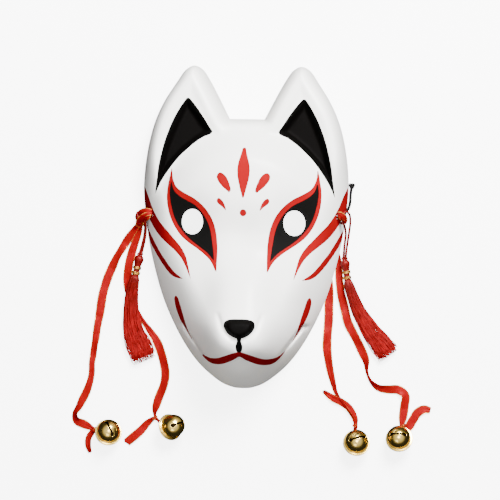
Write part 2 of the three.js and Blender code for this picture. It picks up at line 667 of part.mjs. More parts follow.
const rightOuterTail = [
  [128.9, -157.9, 1.8, 0.3], [133.4, -158.6, 1, 0.9], [137.4, -152.6, 0.5, 1], [141.2, -146.6, 0.4, 1],
  [146.6, -143.8, 0.4, 0.9], [152, -145, 0.4, 0.5],
];
const rightInnerTail = [
  [91.4, -158, 1.7, 0.1], [91.2, -153.4, 2, 0.5], [87, -145, 1.8, 0.7], [80, -139.6, 1.7, 0.8],
  [72, -135.8, 1.6, 0.7], [64.8, -130.6, 0.4, 0.1],
];

const endOf = (points) => moved(points[points.length - 1]).slice(0, 3);
const startOf = (points) => moved(points[0]).slice(0, 3);
const bandStep = { long: 12, round: 4 };
// A tail lies a little higher than the ribbon it leaves, and a turn through a bell's loop higher again.
const heights = { ribbon: floorGap, tail: floorGap + 0.11, turn: floorGap + 0.23 };
const band = (points) => bandAlong(points.map(moved), bandStep.long, heights.ribbon);
const tail = (points) => bandAlong(points.map(moved), bandStep.long, heights.tail);
const turnAt = (name, knot) => bandAlong(throughLoop(name, knot), bandStep.round, heights.turn);

function leftRibbonGeometry() {
  return joined([
    band(leftOuter), tail(leftInner), tail(leftTie), tail(leftOuterTail), band(leftInnerTail),
    turnAt('left_outer', endOf(leftOuter)), turnAt('left_inner', endOf(leftInner)),
    lump(startOf(leftOuter), ribbon.knot + 0.5, 0.9), lump(endOf(leftOuter), ribbon.knot),
    lump(endOf(leftInner), ribbon.knot),
  ]);
}

function rightRibbonGeometry() {
  return joined([
    band(rightRibbon), tail(rightOuterTail), tail(rightInnerTail),
    turnAt('right_outer', startOf(rightRibbon)), turnAt('right_inner', endOf(rightRibbon)),
    lump(startOf(rightRibbon), ribbon.knot), lump(endOf(rightRibbon), ribbon.knot),
  ]);
}

// The elastic: its free end outside the right side, in through the hole, loose across the inside,
// and knotted to the left ribbon.
const elasticRoute = [
  [85.1, 34.6, 2.4], [84.3, 28.2, 2.3], [84, 22, 3.4], [82.8, 16.8, 7.6], [80.6, 13.6, 12],
  [77.9, 11.8, 15.2], [75.4, 11.3, 15.8], [73, 11.4, 15.8], [69, 12.6, 13], [62, 16.5, 5.4],
  [53, 22, 1.4], [42, 26, 1.3],
  [30, 24.4, 1.2],
  [18, 15, 1.3], [6, 4, 1.3], [-8, 0, 1.3], [-18, 9, 1.3], [-24, 22, 1.3], [-36, 29, 1.3], [-50, 27, 1.2],
  [-60, 18.4, 3.4], [-65, 12.4, 7], [-67.9, 8.9, 9],
];

function elasticGeometry() {
  const points = elasticRoute.map(moved);
  return joined([
    cordGeometry(points, elastic.diameter, facets.elasticSteps),
    lump(points[0], elastic.knot, 0.95), lump(points[points.length - 1], elastic.knot, 0.95),
  ]);
}

// Tassels: a head, a neck under two bands, and a skirt of threads lying on the table.
// A row of the skirt is [x, y, half width, half height].
const tassels = {
  left: {
    head: [-85.2, -27.6], bands: [[-86.6, -34.2], [-87.4, -38.4]],
    skirt: [
      [-88.6, -43.4, 3.9, 3.4], [-90.3, -52.8, 4.9, 3.4], [-91, -61.5, 5.7, 3.2], [-90.9, -73, 6.6, 3],
      [-89, -84.5, 8, 2.7], [-86, -93.1, 9.2, 2.5], [-82, -102.5, 9.6, 2.3], [-79, -109.4, 9.2, 2.1],
    ],
  },
  right: {
    head: [80.9, -28.2], bands: [[81.9, -34.8], [82.6, -39.2]],
    skirt: [
      [83.8, -44.6, 3.8, 3.4], [87.7, -55.3, 4.6, 3.4], [91.9, -65.2, 5.4, 3.2], [97.6, -75.1, 6.5, 3],
      [104.6, -85, 7.6, 2.7], [112.4, -94.8, 8.6, 2.4], [117.4, -101.4, 9.2, 2.2],
    ],
  },
};
const tasselGap = 1.3; // the threads lie this far above the table, over a ribbon
const tasselLevel = tasselGap + tassel.headRadius;

function tasselRows({ head, bands, skirt }) {
  const r = tassel.headRadius;
  const neck = tassel.neckRadius;
  const down = new THREE.Vector2(bands[0][0] - head[0], bands[0][1] - head[1]).normalize();
  const onHead = (degrees) => {
    const a = THREE.MathUtils.degToRad(degrees);
    const along = -r * Math.cos(a);
    const wide = r * Math.sin(a);
    return [head[0] + down.x * along, head[1] + down.y * along, wide, wide, tasselLevel];
  };
  const past = (point, by) => [point[0] + down.x * by, point[1] + down.y * by, neck, neck, tasselLevel];
  const clear = tassel.bandWidth / 2 + 0.4;
  return [
    ...[18, 50, 85, 118].map(onHead), past(bands[0], -clear), past(bands[1], clear),
    ...skirt.map(([x, y, w, h]) => [x, y, w, h, tasselGap + h]),
  ].map(([x, y, w, h, z]) => [...moved([x, y, 0]).slice(0, 2), w, h, z]);
}

function tasselGeometry(side) {
  const rows = tasselRows(tassels[side]);
  const onSkirt = 6; // the rows from here on are fluted like threads
  return loft(rows.map(([x, y, w, h, z], i) => {
    const before = rows[Math.max(i - 1, 0)];
    const after = rows[Math.min(i + 1, rows.length - 1)];
    const across = new THREE.Vector2(before[1] - after[1], after[0] - before[0]).normalize();
    const ring = [];
    for (let s = 0; s < facets.tassel; s += 1) {
      const turn = (s * 2 * Math.PI) / facets.tassel;
      const flute = i >= onSkirt && s % 2 ? 0.93 : 1;
      const out = w * flute * Math.cos(turn);
      ring.push([x + across.x * out, y + across.y * out, z + h * flute * Math.sin(turn)]);
    }
    return ring;
  }));
}

function bandGeometry(side, which) {
  const { bands } = tassels[side];
  const inner = (tassel.neckRadius + touching * 1.1) / Math.cos(Math.PI / facets.band);
  const outer = inner + tassel.bandThickness;
  const half = tassel.bandWidth / 2;
  const profile = [[inner, -half], [outer, -half], [outer, half], [inner, half], [inner, -half]];
  const ring = new THREE.LatheGeometry(profile.map(([r, z]) => new THREE.Vector2(r, z)), facets.band);
  const along = Math.atan2(bands[1][1] - bands[0][1], bands[1][0] - bands[0][0]);
  ring.rotateZ(along - Math.PI / 2);
  const [x, y] = moved([...bands[which], 0]);
  return ring.translate(x, y, tasselLevel);
}

// Tassel cords: each is doubled, from the tassel's head up to the ribbon and back.
const cordEnds = (side) => {
  const { head, bands } = tassels[side];
  const down = new THREE.Vector2(bands[0][0] - head[0], bands[0][1] - head[1]).normalize();
  const out = tassel.headRadius + touching;
  const top = [head[0] - down.x * out, head[1] - down.y * out];
  return [-1, 1].map((s) => [top[0] - down.y * 0.9 * s, top[1] + down.x * 0.9 * s, tasselLevel]);
};
const [leftStart, leftEnd] = cordEnds('left');
const [rightStart, rightEnd] = cordEnds('right');
const leftCord = [
  leftStart, [-83.4, -17, 4.2], [-81.4, -8, 4.6], [-80.7, 0, 7], [-81.4, 4.4, 9.6],
  ...hook([-84.4, 8.4, 11.4], [3.6, 3.8, 5.6], [1, -0.5, -0.2], tasselCord.hookRadius, 24, 6),
  [-80.4, 3.4, 12], [-79.6, -2, 9.2], [-80.4, -10, 6.6], [-82, -18, 5.4], leftEnd,
];
const rightCord = [
  rightStart, [79.9, -14, 6.4], [80.8, -4, 9.4], [79.6, 2.4, 14.2], [78.2, 5.6, 17.8], [77.9, 8.6, 18],
  [78.2, 11.4, 17.9], [80.6, 13.4, 17], [83.4, 11.4, 14], [84.2, 5, 10.4], [83.2, -5, 7.6], [81.8, -16, 5.8],
  rightEnd,
];

function tasselCordGeometry(points) {
  return cordGeometry(points.map(moved), tasselCord.diameter, facets.tasselCordSteps);
}

// Materials

function finish(color, roughness, metalness = 0) {
  return new THREE.MeshStandardMaterial({ color, roughness, metalness });
}

const finishes = {
  shell: finish(0xf3f2ee, 0.35),
  satin: finish(0xc81a17, 0.45),
  thread: finish(0xb3110f, 0.6),
  gold: finish(0xd8a93c, 0.3, 0.8),
  brass: finish(0xd9b65a, 0.2, 1),
  elastic: finish(0x161514, 0.8),
};

const group = new THREE.Group();

function addPiece(name, geometry, material) {
  const mesh = new THREE.Mesh(geometry, material.clone());
  mesh.name = name;
  group.add(mesh);
}

addPiece('mask_shell', maskGeometry(), finishes.shell);
addPiece('elastic_cord', elasticGeometry(), finishes.elastic);
addPiece('ribbon_left', leftRibbonGeometry(), finishes.satin);
addPiece('ribbon_right', rightRibbonGeometry(), finishes.satin);
addPiece('tassel_cord_left', tasselCordGeometry(leftCord), finishes.thread);
addPiece('tassel_cord_right', tasselCordGeometry(rightCord), finishes.thread);
for (const side of ['left', 'right']) {
  addPiece(`tassel_${side}`, tasselGeometry(side), finishes.thread);
  addPiece(`tassel_band_${side}_upper`, bandGeometry(side, 0), finishes.gold);
  addPiece(`tassel_band_${side}_lower`, bandGeometry(side, 1), finishes.gold);
}
for (const [name, { geometry }] of Object.entries(placed)) {
  addPiece(`bell_${name}`, geometry, finishes.brass);
}

export default group;
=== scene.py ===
"""A fox mask of moulded plastic lying face up, with elastic, ribbons, tassels and bells.

Lengths are written in millimetres, as in the solids' source, and MM turns them into metres. Only the
lights' places and the scales inside materials are in metres.
"""
import math

import bmesh
import bpy
import numpy as np
from mathutils import Matrix, Vector


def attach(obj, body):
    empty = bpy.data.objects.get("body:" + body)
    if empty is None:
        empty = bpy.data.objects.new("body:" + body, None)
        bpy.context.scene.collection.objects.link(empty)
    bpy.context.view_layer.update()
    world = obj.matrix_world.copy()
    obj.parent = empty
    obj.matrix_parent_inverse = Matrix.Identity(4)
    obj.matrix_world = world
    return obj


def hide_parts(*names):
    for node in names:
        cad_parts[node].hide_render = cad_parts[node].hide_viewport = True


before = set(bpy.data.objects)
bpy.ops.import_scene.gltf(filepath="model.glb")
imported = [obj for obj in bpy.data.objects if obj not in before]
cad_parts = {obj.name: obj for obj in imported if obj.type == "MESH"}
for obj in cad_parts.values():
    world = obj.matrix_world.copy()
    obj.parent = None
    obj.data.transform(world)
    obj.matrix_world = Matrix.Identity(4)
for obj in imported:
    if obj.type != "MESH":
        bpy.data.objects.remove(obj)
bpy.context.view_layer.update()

MM = 0.001
TURN = 2 * math.pi
rng = np.random.default_rng(7)


# The camera: it looks down on the mask from a little to its right, rolled by a degree

CAMERA = {"aim": (4.0, -18.3, 0.0), "distance": 1400.0, "yaw": 2.3, "roll": 1.0, "lens": 124.9}


def add_camera():
    yaw = math.radians(CAMERA["yaw"])
    roll = math.radians(CAMERA["roll"])
    back = Vector((math.sin(yaw), 0, math.cos(yaw)))
    right = Vector((math.cos(yaw), 0, -math.sin(yaw)))
    up = Vector((0, 1, 0))
    across = math.cos(roll) * right + math.sin(roll) * up
    upwards = -math.sin(roll) * right + math.cos(roll) * up
    data = bpy.data.cameras.new("camera")
    data.lens = CAMERA["lens"]
    data.sensor_width = 36
    data.clip_end = 20
    camera = bpy.data.objects.new("camera", data)
    place = (Vector(CAMERA["aim"]) + back * CAMERA["distance"]) * MM
    turned = Matrix((across, upwards, back)).transposed().to_4x4()
    camera.matrix_world = Matrix.Translation(place) @ turned
    bpy.context.scene.collection.objects.link(camera)
    bpy.context.scene.camera = camera


add_camera()


# Sizes: the holes, wall, tassels and bells follow the solids, and the thin goods are a little fuller

EYE_HOLE = {"x": 40.0, "y": 3.2, "half_width": 8.5, "half_height": 9.9}
SIDE_HOLE = {"x": 74.6, "y": 10.0, "z": 16.5, "radius": 3.4}
WALL = 2.0
RIM_LIFT = 2.4
RIBBON = {
    "width": 7, "laid_width": 7.4, "thickness": 0.34, "gathered": 1.8,
    "columns": 11, "crown": 0.25, "gathers": 0.62, "lowest": 0.12,
}
ELASTIC_DIAMETER = 2.3
# Each knot's size and the thickness of the strand it is tied from
BELL_KNOT, SIDE_KNOT, LOOP_END = (1.75, 1.5), (3, 3.2), (2.1, 1.3)
ELASTIC_END, ELASTIC_INNER = (1.6, 2.5), (1.3, 1.7)
TASSEL_CORD = {"diameter": 1.9, "hook": 2.7}
# How far a ribbon's frayed end may fall short and reach out
FRAY = (-1.6, 0.6)
# Slow waves along a ribbon: how far each turns it over, in radians, and how long it is
SWAYS = [(0.16, 9), (0.12, 4.3)]
TASSEL = {"head": 3.7, "neck": 2.5, "gap": 1.3}
BELL = {
    "radius": 8.9, "side": 5.4, "back": 5.0, "wall": 0.7, "flange": 10.8, "flange_thick": 1.2,
    "loop": 2.0, "wire": 0.6, "slot": 10.8, "slot_width": 1.6, "slot_end": 1.5,
}
TABLE = {"reach": 2500, "drop": 0.3, "glow": 4.8}
# The light from all round: how bright it is low down and high up, and where on the way up it changes
SKY = {"low": 0.05, "high": 2.4, "from": 0.35, "to": 0.9, "strength": 0.5}


# Curves

def through(knots, at):
    """A smooth curve of value against position, through (position, value) knots."""
    k = np.asarray(knots, float)
    x, y = k[:, 0], k[:, 1]
    at = np.clip(np.asarray(at, float), x[0], x[-1])
    slope = np.empty(len(x))
    slope[1:-1] = (y[2:] - y[:-2]) / (x[2:] - x[:-2])
    slope[0] = (y[1] - y[0]) / (x[1] - x[0])
    slope[-1] = (y[-1] - y[-2]) / (x[-1] - x[-2])
    i = np.clip(np.searchsorted(x, at, side="right") - 1, 0, len(x) - 2)
    step = x[i + 1] - x[i]
    t = (at - x[i]) / step
    t2, t3 = t * t, t ** 3
    return (y[i] * (2 * t3 - 3 * t2 + 1) + y[i + 1] * (3 * t2 - 2 * t3)
            + step * (slope[i] * (t3 - 2 * t2 + t) + slope[i + 1] * (t3 - t2)))


def smoothstep(start, end, v):
    t = np.clip((v - start) / (end - start), 0, 1)
    return t * t * (3 - 2 * t)


def run_along(points, step, uniform=False):
    """Points on a smooth line through the given ones, and where each lies, counted in given points."""
    p = np.asarray(points, float)
    ends = np.vstack([2 * p[0] - p[1], p, 2 * p[-1] - p[-2]])
    places, marks = [], []
    for i in range(len(p) - 1):
        a, b, c, d = ends[i:i + 4]
        if uniform:
            ta, tb, tc = 1.0, 1.0, 1.0
        else:
            ta, tb, tc = (max(np.linalg.norm(q), 1e-6) ** 0.5 for q in (b - a, c - b, d - c))
        out = ((b - a) / ta - (c - a) / (ta + tb) + (c - b) / tb) * tb
        into = ((c - b) / tb - (d - b) / (tb + tc) + (d - c) / tc) * tb
        pieces = max(1, int(round(np.linalg.norm(c - b) / step)))
        t = (np.arange(pieces) / pieces)[:, None]
        t2, t3 = t * t, t ** 3
        places.append(b * (2 * t3 - 3 * t2 + 1) + c * (3 * t2 - 2 * t3)
                      + out * (t3 - 2 * t2 + t) + into * (t3 - t2))
        marks.append(i + t[:, 0])
    places.append(p[-1:])
    marks.append([len(p) - 1.0])
    return np.vstack(places), np.concatenate(marks)


def unit(v):
    """Each row of v at a length of one."""
    return v / np.linalg.norm(v, axis=-1, keepdims=True)


def distance_along(line):
    return np.concatenate([[0], np.cumsum(np.linalg.norm(np.diff(line, axis=0), axis=1))])


def whole_turn(count):
    return np.linspace(0, TURN, count, endpoint=False)


def distance_to(points, x, y):
    """How far each place is from an open run of points."""
    best = np.full(np.shape(x), np.inf)
    for (ax, ay), (bx, by) in zip(points[:-1], points[1:]):
        dx, dy = bx - ax, by - ay
        t = np.clip(((x - ax) * dx + (y - ay) * dy) / (dx * dx + dy * dy), 0, 1)
        best = np.minimum(best, (x - ax - t * dx) ** 2 + (y - ay - t * dy) ** 2)
    return np.sqrt(best)


def is_inside(points, x, y):
    inside = np.zeros(np.shape(x), bool)
    for (ax, ay), (bx, by) in zip(points, np.roll(points, 1, axis=0)):
        if ay != by:
            crosses = ((ay > y) != (by > y)) & (x < (bx - ax) * (y - ay) / (by - ay) + ax)
            inside ^= crosses
    return inside


def depth_in(points, x, y):
    """How deep each place lies inside a closed outline, below zero outside it."""
    points = np.asarray(points, float)
    away = distance_to(np.vstack([points, points[:1]]), x, y)
    return np.where(is_inside(points, x, y), away, -away)


# The mask's outline and form, the same as the solid's, with finer features

TOP_EDGE = (14.1, 87.2)
OUTLINE = [
    TOP_EDGE, (24.1, 106.8), (31.3, 119.7), (36.7, 127), (43.6, 130), (50.6, 126.2), (56.7, 117.5),
    (67.6, 100.1), (75.5, 81.2), (80.6, 58), (82.6, 34), (81, 12), (77.6, -12), (72.6, -34), (66, -56),
    (57, -77.5), (46, -97), (34, -112.2), (19, -124.5), (8, -129.2), (0, -130),
]
MIDDLE = np.array([0.0, -30.0])
EDGE_ROLL = [
    (-130, 28), (-100, 34), (-60, 34), (-20, 28), (10, 22), (40, 13), (60, 10), (130, 9),
]
ROLL_DRAFT = 0.1
MID_HEIGHT = [
    (-130, 41), (-110, 46), (-90, 48), (-60, 49), (-25, 51), (0, 53.5), (25, 55), (50, 51.5), (70, 45),
    (87, 37), (130, 26),
]
SNOUT_HEIGHT = [
    (-130, 0), (-120, 6), (-110, 16), (-100, 26.5), (-92, 31.5), (-84, 34), (-75, 33), (-60, 26),
    (-45, 18), (-32, 9.5), (-20, 3), (-6, 0),
]
SNOUT_HALF_WIDTH = [(-120, 31), (-100, 33), (-80, 31), (-50, 26), (-20, 23)]
MOUTH_LINE = [
    (0, -98.8), (8, -101.8), (16, -105), (22, -105.6), (27, -103.8), (31, -100.3), (36, -94.6), (42, -87),
    (48, -79),
]
EAR_HOLLOW = [
    (45.6, 101.4), (25.9, 75.2), (37.4, 67.3), (46.6, 59.7), (58.4, 46.7), (65.6, 37.2), (70.4, 27.7),
    (68.7, 48), (65.6, 61.1), (60.7, 74.2), (55.1, 87.3), (49.6, 99.1),
]
NOSE_HALF = [
    (0, -70.4), (7, -70.8), (11, -72.8), (11.8, -76), (10, -80.6), (6, -84.3), (2.2, -85.8), (0, -86),
]
NOSE_PAD = NOSE_HALF + [(-x, y) for x, y in reversed(NOSE_HALF[1:-1])]
NOSE_CREASE = run_along([(17.1, -67.2), (15.2, -73.2), (11.7, -81.1), (4.4, -86.8)], 2, True)[0]
FINE_OUTLINE = np.vstack([[0, TOP_EDGE[1]], run_along(OUTLINE, 2.2, True)[0]])
FINE_OUTLINE_CLOSED = np.vstack([FINE_OUTLINE, [-1, -130], [-1, TOP_EDGE[1]]])


# Each mound's middle x, middle y, reach across, reach along and height
MOUNDS = {
    "socket": (41, 2, 21, 22, 5), "bridge": (0, -6, 20, 18, 4), "cheek": (46, -44, 17, 20, 2.5),
    "lip": (15, -94, 9.5, 8.5, 2.6), "chin": (0, -116, 15, 8, 3),
}
FOREHEAD_FALL = {"share": 0.6, "power": 2.2, "half_width": 82.6, "corners": 12}
EAR_FORM = {"height": 31, "by_temple": 10, "at_tip": 4, "ridge": 1.6, "ridge_from_rim": 12, "hollow": 6}
JAW = {"step": 6.5, "less_aside": 3, "groove": 1.7, "groove_on_wall": 11.5, "groove_reach": 1.6}
NOSE = {"pad": 3.4, "wing": 1.7, "wing_reach": 1.9, "philtrum": 1.6, "philtrum_reach": 1.7}


def mound(name, x, y, power=1.0):
    middle_x, middle_y, across, along, height = MOUNDS[name]
    dx, dy = (x - middle_x) / across, (y - middle_y) / along
    away = dx * dx + dy * dy
    return height * np.exp(-(away if power == 1 else away ** power))


def smooth_max(a, b, softness):
    return (a + b + np.sqrt((a - b) ** 2 + softness ** 2)) / 2


def rolled(from_rim, y):
    """The height of the rolled edge, from 0 at the rim to 1 where the face begins."""
    q = np.clip(from_rim / through(EDGE_ROLL, y), 0, 1) * (1 - ROLL_DRAFT) + ROLL_DRAFT
    start = math.sqrt(ROLL_DRAFT * (2 - ROLL_DRAFT))
    return (np.sqrt(q * (2 - q)) - start) / (1 - start)


def rim_height(x, y):
    return RIM_LIFT * smoothstep(46, 24, y) * smoothstep(-82, -56, y) * smoothstep(48, 60, x)


def forehead(x, y):
    f = FOREHEAD_FALL
    face = through(MID_HEIGHT, y) * (1 - f["share"] * (x / f["half_width"]) ** f["power"])
    dome = face - f["corners"] * smoothstep(0, 40, y) * smoothstep(50, 84, np.hypot(x, y))
    e = EAR_FORM
    ear = e["height"] - e["by_temple"] * smoothstep(55, 0, y) - e["at_tip"] * smoothstep(85, 130, y)
    return smooth_max(dome, ear, 2.5)


def ears(x, y, from_rim):
    on_ear = smoothstep(30, 60, y) * smoothstep(20, 34, x + y / 8)
    ridge = EAR_FORM["ridge"] * np.exp(-((from_rim - EAR_FORM["ridge_from_rim"]) / 4) ** 2) * on_ear
    return ridge - EAR_FORM["hollow"] * smoothstep(0, 5.5, depth_in(EAR_HOLLOW, x, y))


def eyes_and_bridge(x, y):
    return mound("cheek", x, y) - mound("socket", x, y, 1.4) - mound("bridge", x, y)


def snout(x, y):
    return through(SNOUT_HEIGHT, y) / (1 + (x / through(SNOUT_HALF_WIDTH, y)) ** 3.4)


def mouth(x, y):
    line = through(MOUTH_LINE, x)
    lean = through(MOUTH_LINE, x + 0.5) - through(MOUTH_LINE, x - 0.5)
    below = (line - y) / np.hypot(1, lean)
    fade = 1 - smoothstep(47, 58, x)
    jaw = (JAW["step"] - JAW["less_aside"] * smoothstep(24, 44, x)) * smoothstep(-0.6, 3.2, below) * fade
    deep = JAW["groove"] + JAW["groove_on_wall"] * smoothstep(28, 44, x)
    groove = deep * np.exp(-((below / JAW["groove_reach"]) ** 2)) * fade
    return mound("lip", x, y) + mound("chin", x, y) - jaw - groove


def nose(x, y):
    pad = NOSE["pad"] * smoothstep(-0.6, 4, depth_in(NOSE_PAD, x, y))
    from_crease = distance_to(NOSE_CREASE, x, y) / NOSE["wing_reach"]
    wing = NOSE["wing"] * np.exp(-(from_crease ** 2)) * smoothstep(-64, -72, y)
    philtrum = NOSE["philtrum"] * np.exp(-((x / NOSE["philtrum_reach"]) ** 2))
    return pad - wing - philtrum * smoothstep(-84, -88, y) * smoothstep(-101, -98, y)


def front(x, y):
    """Height of the mask's outside above the table."""
    side = np.abs(x)
    rim = rim_height(side, y)
    from_rim = distance_to(FINE_OUTLINE, side, y)
    face = (forehead(side, y) + ears(side, y, from_rim) + eyes_and_bridge(side, y)
            + snout(side, y) + mouth(side, y) + nose(side, y))
    height = rim + (face - rim) * rolled(from_rim, y)
    return np.where(is_inside(FINE_OUTLINE_CLOSED, side, y), height, rim)


GRID = 0.8
GRID_X = np.arange(-88, 88.1, GRID)
GRID_Y = np.arange(-136, 136.1, GRID)
GRID_Z = front(*np.meshgrid(GRID_X, GRID_Y, indexing="ij"))


def front_looked_up(x, y):
    """The outside's height read between the places of a fine grid, which is quicker."""
    i = np.clip((x - GRID_X[0]) / GRID, 0, len(GRID_X) - 1.001)
    j = np.clip((y - GRID_Y[0]) / GRID, 0, len(GRID_Y) - 1.001)
    i0, j0 = i.astype(int), j.astype(int)
    u, v = i - i0, j - j0
    return (GRID_Z[i0, j0] * (1 - u) * (1 - v) + GRID_Z[i0 + 1, j0] * u * (1 - v)
            + GRID_Z[i0, j0 + 1] * (1 - u) * v + GRID_Z[i0 + 1, j0 + 1] * u * v)


def back(x, y):
    """Height of the inside: a wall's thickness away from the outside, in every direction."""
    lowest = front_looked_up(x, y) - WALL
    for share in (0.5, 0.8, 1):
        for turn in np.arange(12) * math.pi / 6:
            z = front_looked_up(x + share * WALL * math.cos(turn), y + share * WALL * math.sin(turn))
            lowest = np.minimum(lowest, z - WALL * math.sqrt(1 - share * share))
    return np.maximum(lowest, rim_height(np.abs(x), y))


# Meshes

def new_object(name, vertices, faces, materials=(), smooth=None):
    """A mesh from points in millimetres; edges sharper than smooth, in degrees, stay crisp."""
    mesh = bpy.data.meshes.new(name)
    mesh.from_pydata(np.asarray(vertices, float) * MM, [], faces)
    mesh.update()
    for material in materials:
        mesh.materials.append(material)
    obj = bpy.data.objects.new(name, mesh)
    bpy.context.scene.collection.objects.link(obj)
    mesh.shade_smooth()
    if smooth is not None:
        mesh.set_sharp_from_angle(angle=math.radians(smooth))
    return obj


def ring_faces(rows, sides, start=0, looped=False):
    """Squares between rings of points, and from the last ring to the first where they are looped."""
    def at(r, s):
        return start + r % rows * sides + s % sides

    return [(at(r, s), at(r, s + 1), at(r + 1, s + 1), at(r + 1, s))
            for r in range(rows if looped else rows - 1) for s in range(sides)]


def tube_faces(rows, sides, start=0):
    """Squares between rings of points, and a face over the first and the last ring."""
    last = start + (rows - 1) * sides
    return ring_faces(rows, sides, start) + [
        tuple(range(start + sides - 1, start - 1, -1)), tuple(range(last, last + sides)),
    ]


def dress(obj, node):
    """Puts a piece in the place of a solid."""
    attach(obj, "root")
    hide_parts(node)


def joined(name, objects):
    """One object from several, which keep their materials."""
    for obj in bpy.context.selected_objects:
        obj.select_set(False)
    for obj in objects:
        obj.select_set(True)
    bpy.context.view_layer.objects.active = objects[0]
    if len(objects) > 1:
        bpy.ops.object.join()
    objects[0].name = name
    objects[0].data.name = name
    objects[0].select_set(False)
    return objects[0]


def cut(obj, cutter):
    """Takes the cutter out of obj, and the cutter away."""
    modifier = obj.modifiers.new("cut", "BOOLEAN")
    modifier.operation = "DIFFERENCE"
    modifier.solver = "EXACT"
    modifier.material_mode = "INDEX"
    modifier.object = cutter
    graph = bpy.context.evaluated_depsgraph_get()
    mesh = bpy.data.meshes.new_from_object(obj.evaluated_get(graph))
    obj.modifiers.clear()
    old = obj.data
    obj.data = mesh
    bpy.data.meshes.remove(old)
    bpy.data.objects.remove(cutter)


def rings_round(line, side, up, radius, turn):
    """Rings of points round a line; each point has its own radius."""
    return (line[:, None] + side[:, None] * (radius * np.cos(turn))[:, :, None]
            + up[:, None] * (radius * np.sin(turn))[:, :, None])


def frames_along(line):
    """For each point of a line: the way ahead, and two directions square to it that don't spin."""
    ahead = unit(np.gradient(line, axis=0))
    side = np.cross(ahead[0], [0, 0, 1.0])
    if np.linalg.norm(side) < 0.2:
        side = np.cross(ahead[0], [0, 1.0, 0])
    sides = []
    for a in ahead:
        side = side - a * np.dot(side, a)
        side = side / np.linalg.norm(side)
        sides.append(side)
    sides = np.array(sides)
    return ahead, sides, np.cross(ahead, sides)


def set_uv(obj, uv):
    """Gives each corner its point's place in the pattern, in millimetres."""
    layer = obj.data.uv_layers.new(name="pattern")
    corners = np.empty(len(obj.data.loops), np.int32)
    obj.data.loops.foreach_get("vertex_index", corners)
    layer.data.foreach_set("uv", np.asarray(uv, np.float32)[corners].ravel())


def rope(name, points, diameter, material, step=0.6, sides=16, strands=0, pitch=3.0, smooth_line=True):
    """A round cord along a route; strands twist round it where they are given."""
    line = run_along(points, step)[0] if smooth_line else np.asarray(points, float)
    ahead, side, up = frames_along(line)
    along = distance_along(line)
    turn = whole_turn(sides)
    radius = np.full((len(line), sides), diameter / 2)
    if strands:
        phase = strands / 2 * (turn[None, :] + TURN * along[:, None] / pitch)
        radius = diameter / 2 * (0.86 + 0.14 * np.abs(np.cos(phase)))
    rings = rings_round(line, side, up, radius, turn)
    obj = new_object(name, rings.reshape(-1, 3), tube_faces(len(line), sides), [material], 50)
    set_uv(obj, np.stack([np.tile(turn / TURN, len(line)), np.repeat(along, sides)], axis=1))
    return obj, line


# Materials, each worked out by nodes

class Nodes:
    """A material's node tree, built a node at a time."""

    def __init__(self, name, color, roughness, metallic=0.0):
        self.material = bpy.data.materials.new(name)
        self.material.use_nodes = True
        self.material.diffuse_color = (*color, 1)
        self.tree = self.material.node_tree
        self.shader = self.tree.nodes["Principled BSDF"]
        self.set("Base Color", (*color, 1))
        self.set("Roughness", roughness)
        self.set("Metallic", metallic)

    def set(self, socket, value):
        self.shader.inputs[socket].default_value = value

    def fill(self, socket, value):
        if isinstance(value, bpy.types.NodeSocket):
            self.tree.links.new(value, socket)
        else:
            socket.default_value = value

    def add(self, kind, inputs=None, **settings):
        node = self.tree.nodes.new(kind)
        for key, value in settings.items():
            setattr(node, key, value)
        for key, value in (inputs or {}).items():
            self.fill(node.inputs[key], value)
        return node

    def math(self, operation, a, b=0.0):
        return self.add("ShaderNodeMath", {0: a, 1: b}, operation=operation).outputs[0]

    def plus(self, a, b):
        return self.math("ADD", a, b)

    def times(self, a, b):
        return self.math("MULTIPLY", a, b)

    def between(self, value, low, high, to_low=0.0, to_high=1.0):
        """Turns a stretch of values into another one, held at its ends."""
        inputs = {0: value, 1: low, 2: high, 3: to_low, 4: to_high}
        return self.add("ShaderNodeMapRange", inputs, clamp=True).outputs[0]

    def mix(self, share, a, b):
        a, b = ((*c, 1) if isinstance(c, tuple) else c for c in (a, b))
        return self.add("ShaderNodeMix", {0: share, 6: a, 7: b}, data_type="RGBA").outputs[2]

    def noise(self, scale, detail=2.0, vector=None):
        vector = self.position() if vector is None else vector
        inputs = {"Scale": scale, "Detail": detail, "Vector": vector}
        return self.add("ShaderNodeTexNoise", inputs).outputs["Fac"]

    def streaks(self, across, along, detail=3):
        """Noise drawn out along the piece's own pattern."""
        place = self.add("ShaderNodeCombineXYZ", {0: across, 1: along}).outputs[0]
        return self.noise(1.0, detail, place)

    def wave(self, *terms):
        """A sine of the sum of places times steps."""
        total = self.times(*terms[0])
        for place, step in terms[1:]:
            total = self.plus(total, self.times(place, step))
        return self.math("SINE", total)

    def position(self):
        return self.add("ShaderNodeTexCoord").outputs["Object"]

    def pattern(self):
        """The two places in the piece's own pattern."""
        uv = self.add("ShaderNodeUVMap", uv_map="pattern").outputs[0]
        split = self.add("ShaderNodeSeparateXYZ", {0: uv})
        return split.outputs[0], split.outputs[1]

    def attribute(self, name):
        node = self.add("ShaderNodeAttribute", attribute_name=name, attribute_type="GEOMETRY")
        return node.outputs["Fac"]

    def link(self, socket, value):
        self.tree.links.new(value, self.shader.inputs[socket])

    def raise_by(self, height, strength, distance):
        inputs = {"Height": height, "Strength": strength, "Distance": distance}
        self.link("Normal", self.add("ShaderNodeBump", inputs).outputs[0])


WHITE = (0.86, 0.855, 0.83)
PAINT_RED = (0.19, 0.0014, 0.0032)
PAINT_DEEP_RED = (0.16, 0.0012, 0.0026)
PAINT_BRIGHT_RED = (0.22, 0.0018, 0.0036)
PAINT_BLACK = (0.0011, 0.0009, 0.0008)
EYE_BLACK = (0.003, 0.0029, 0.0027)
PAINT_EDGE = 0.07


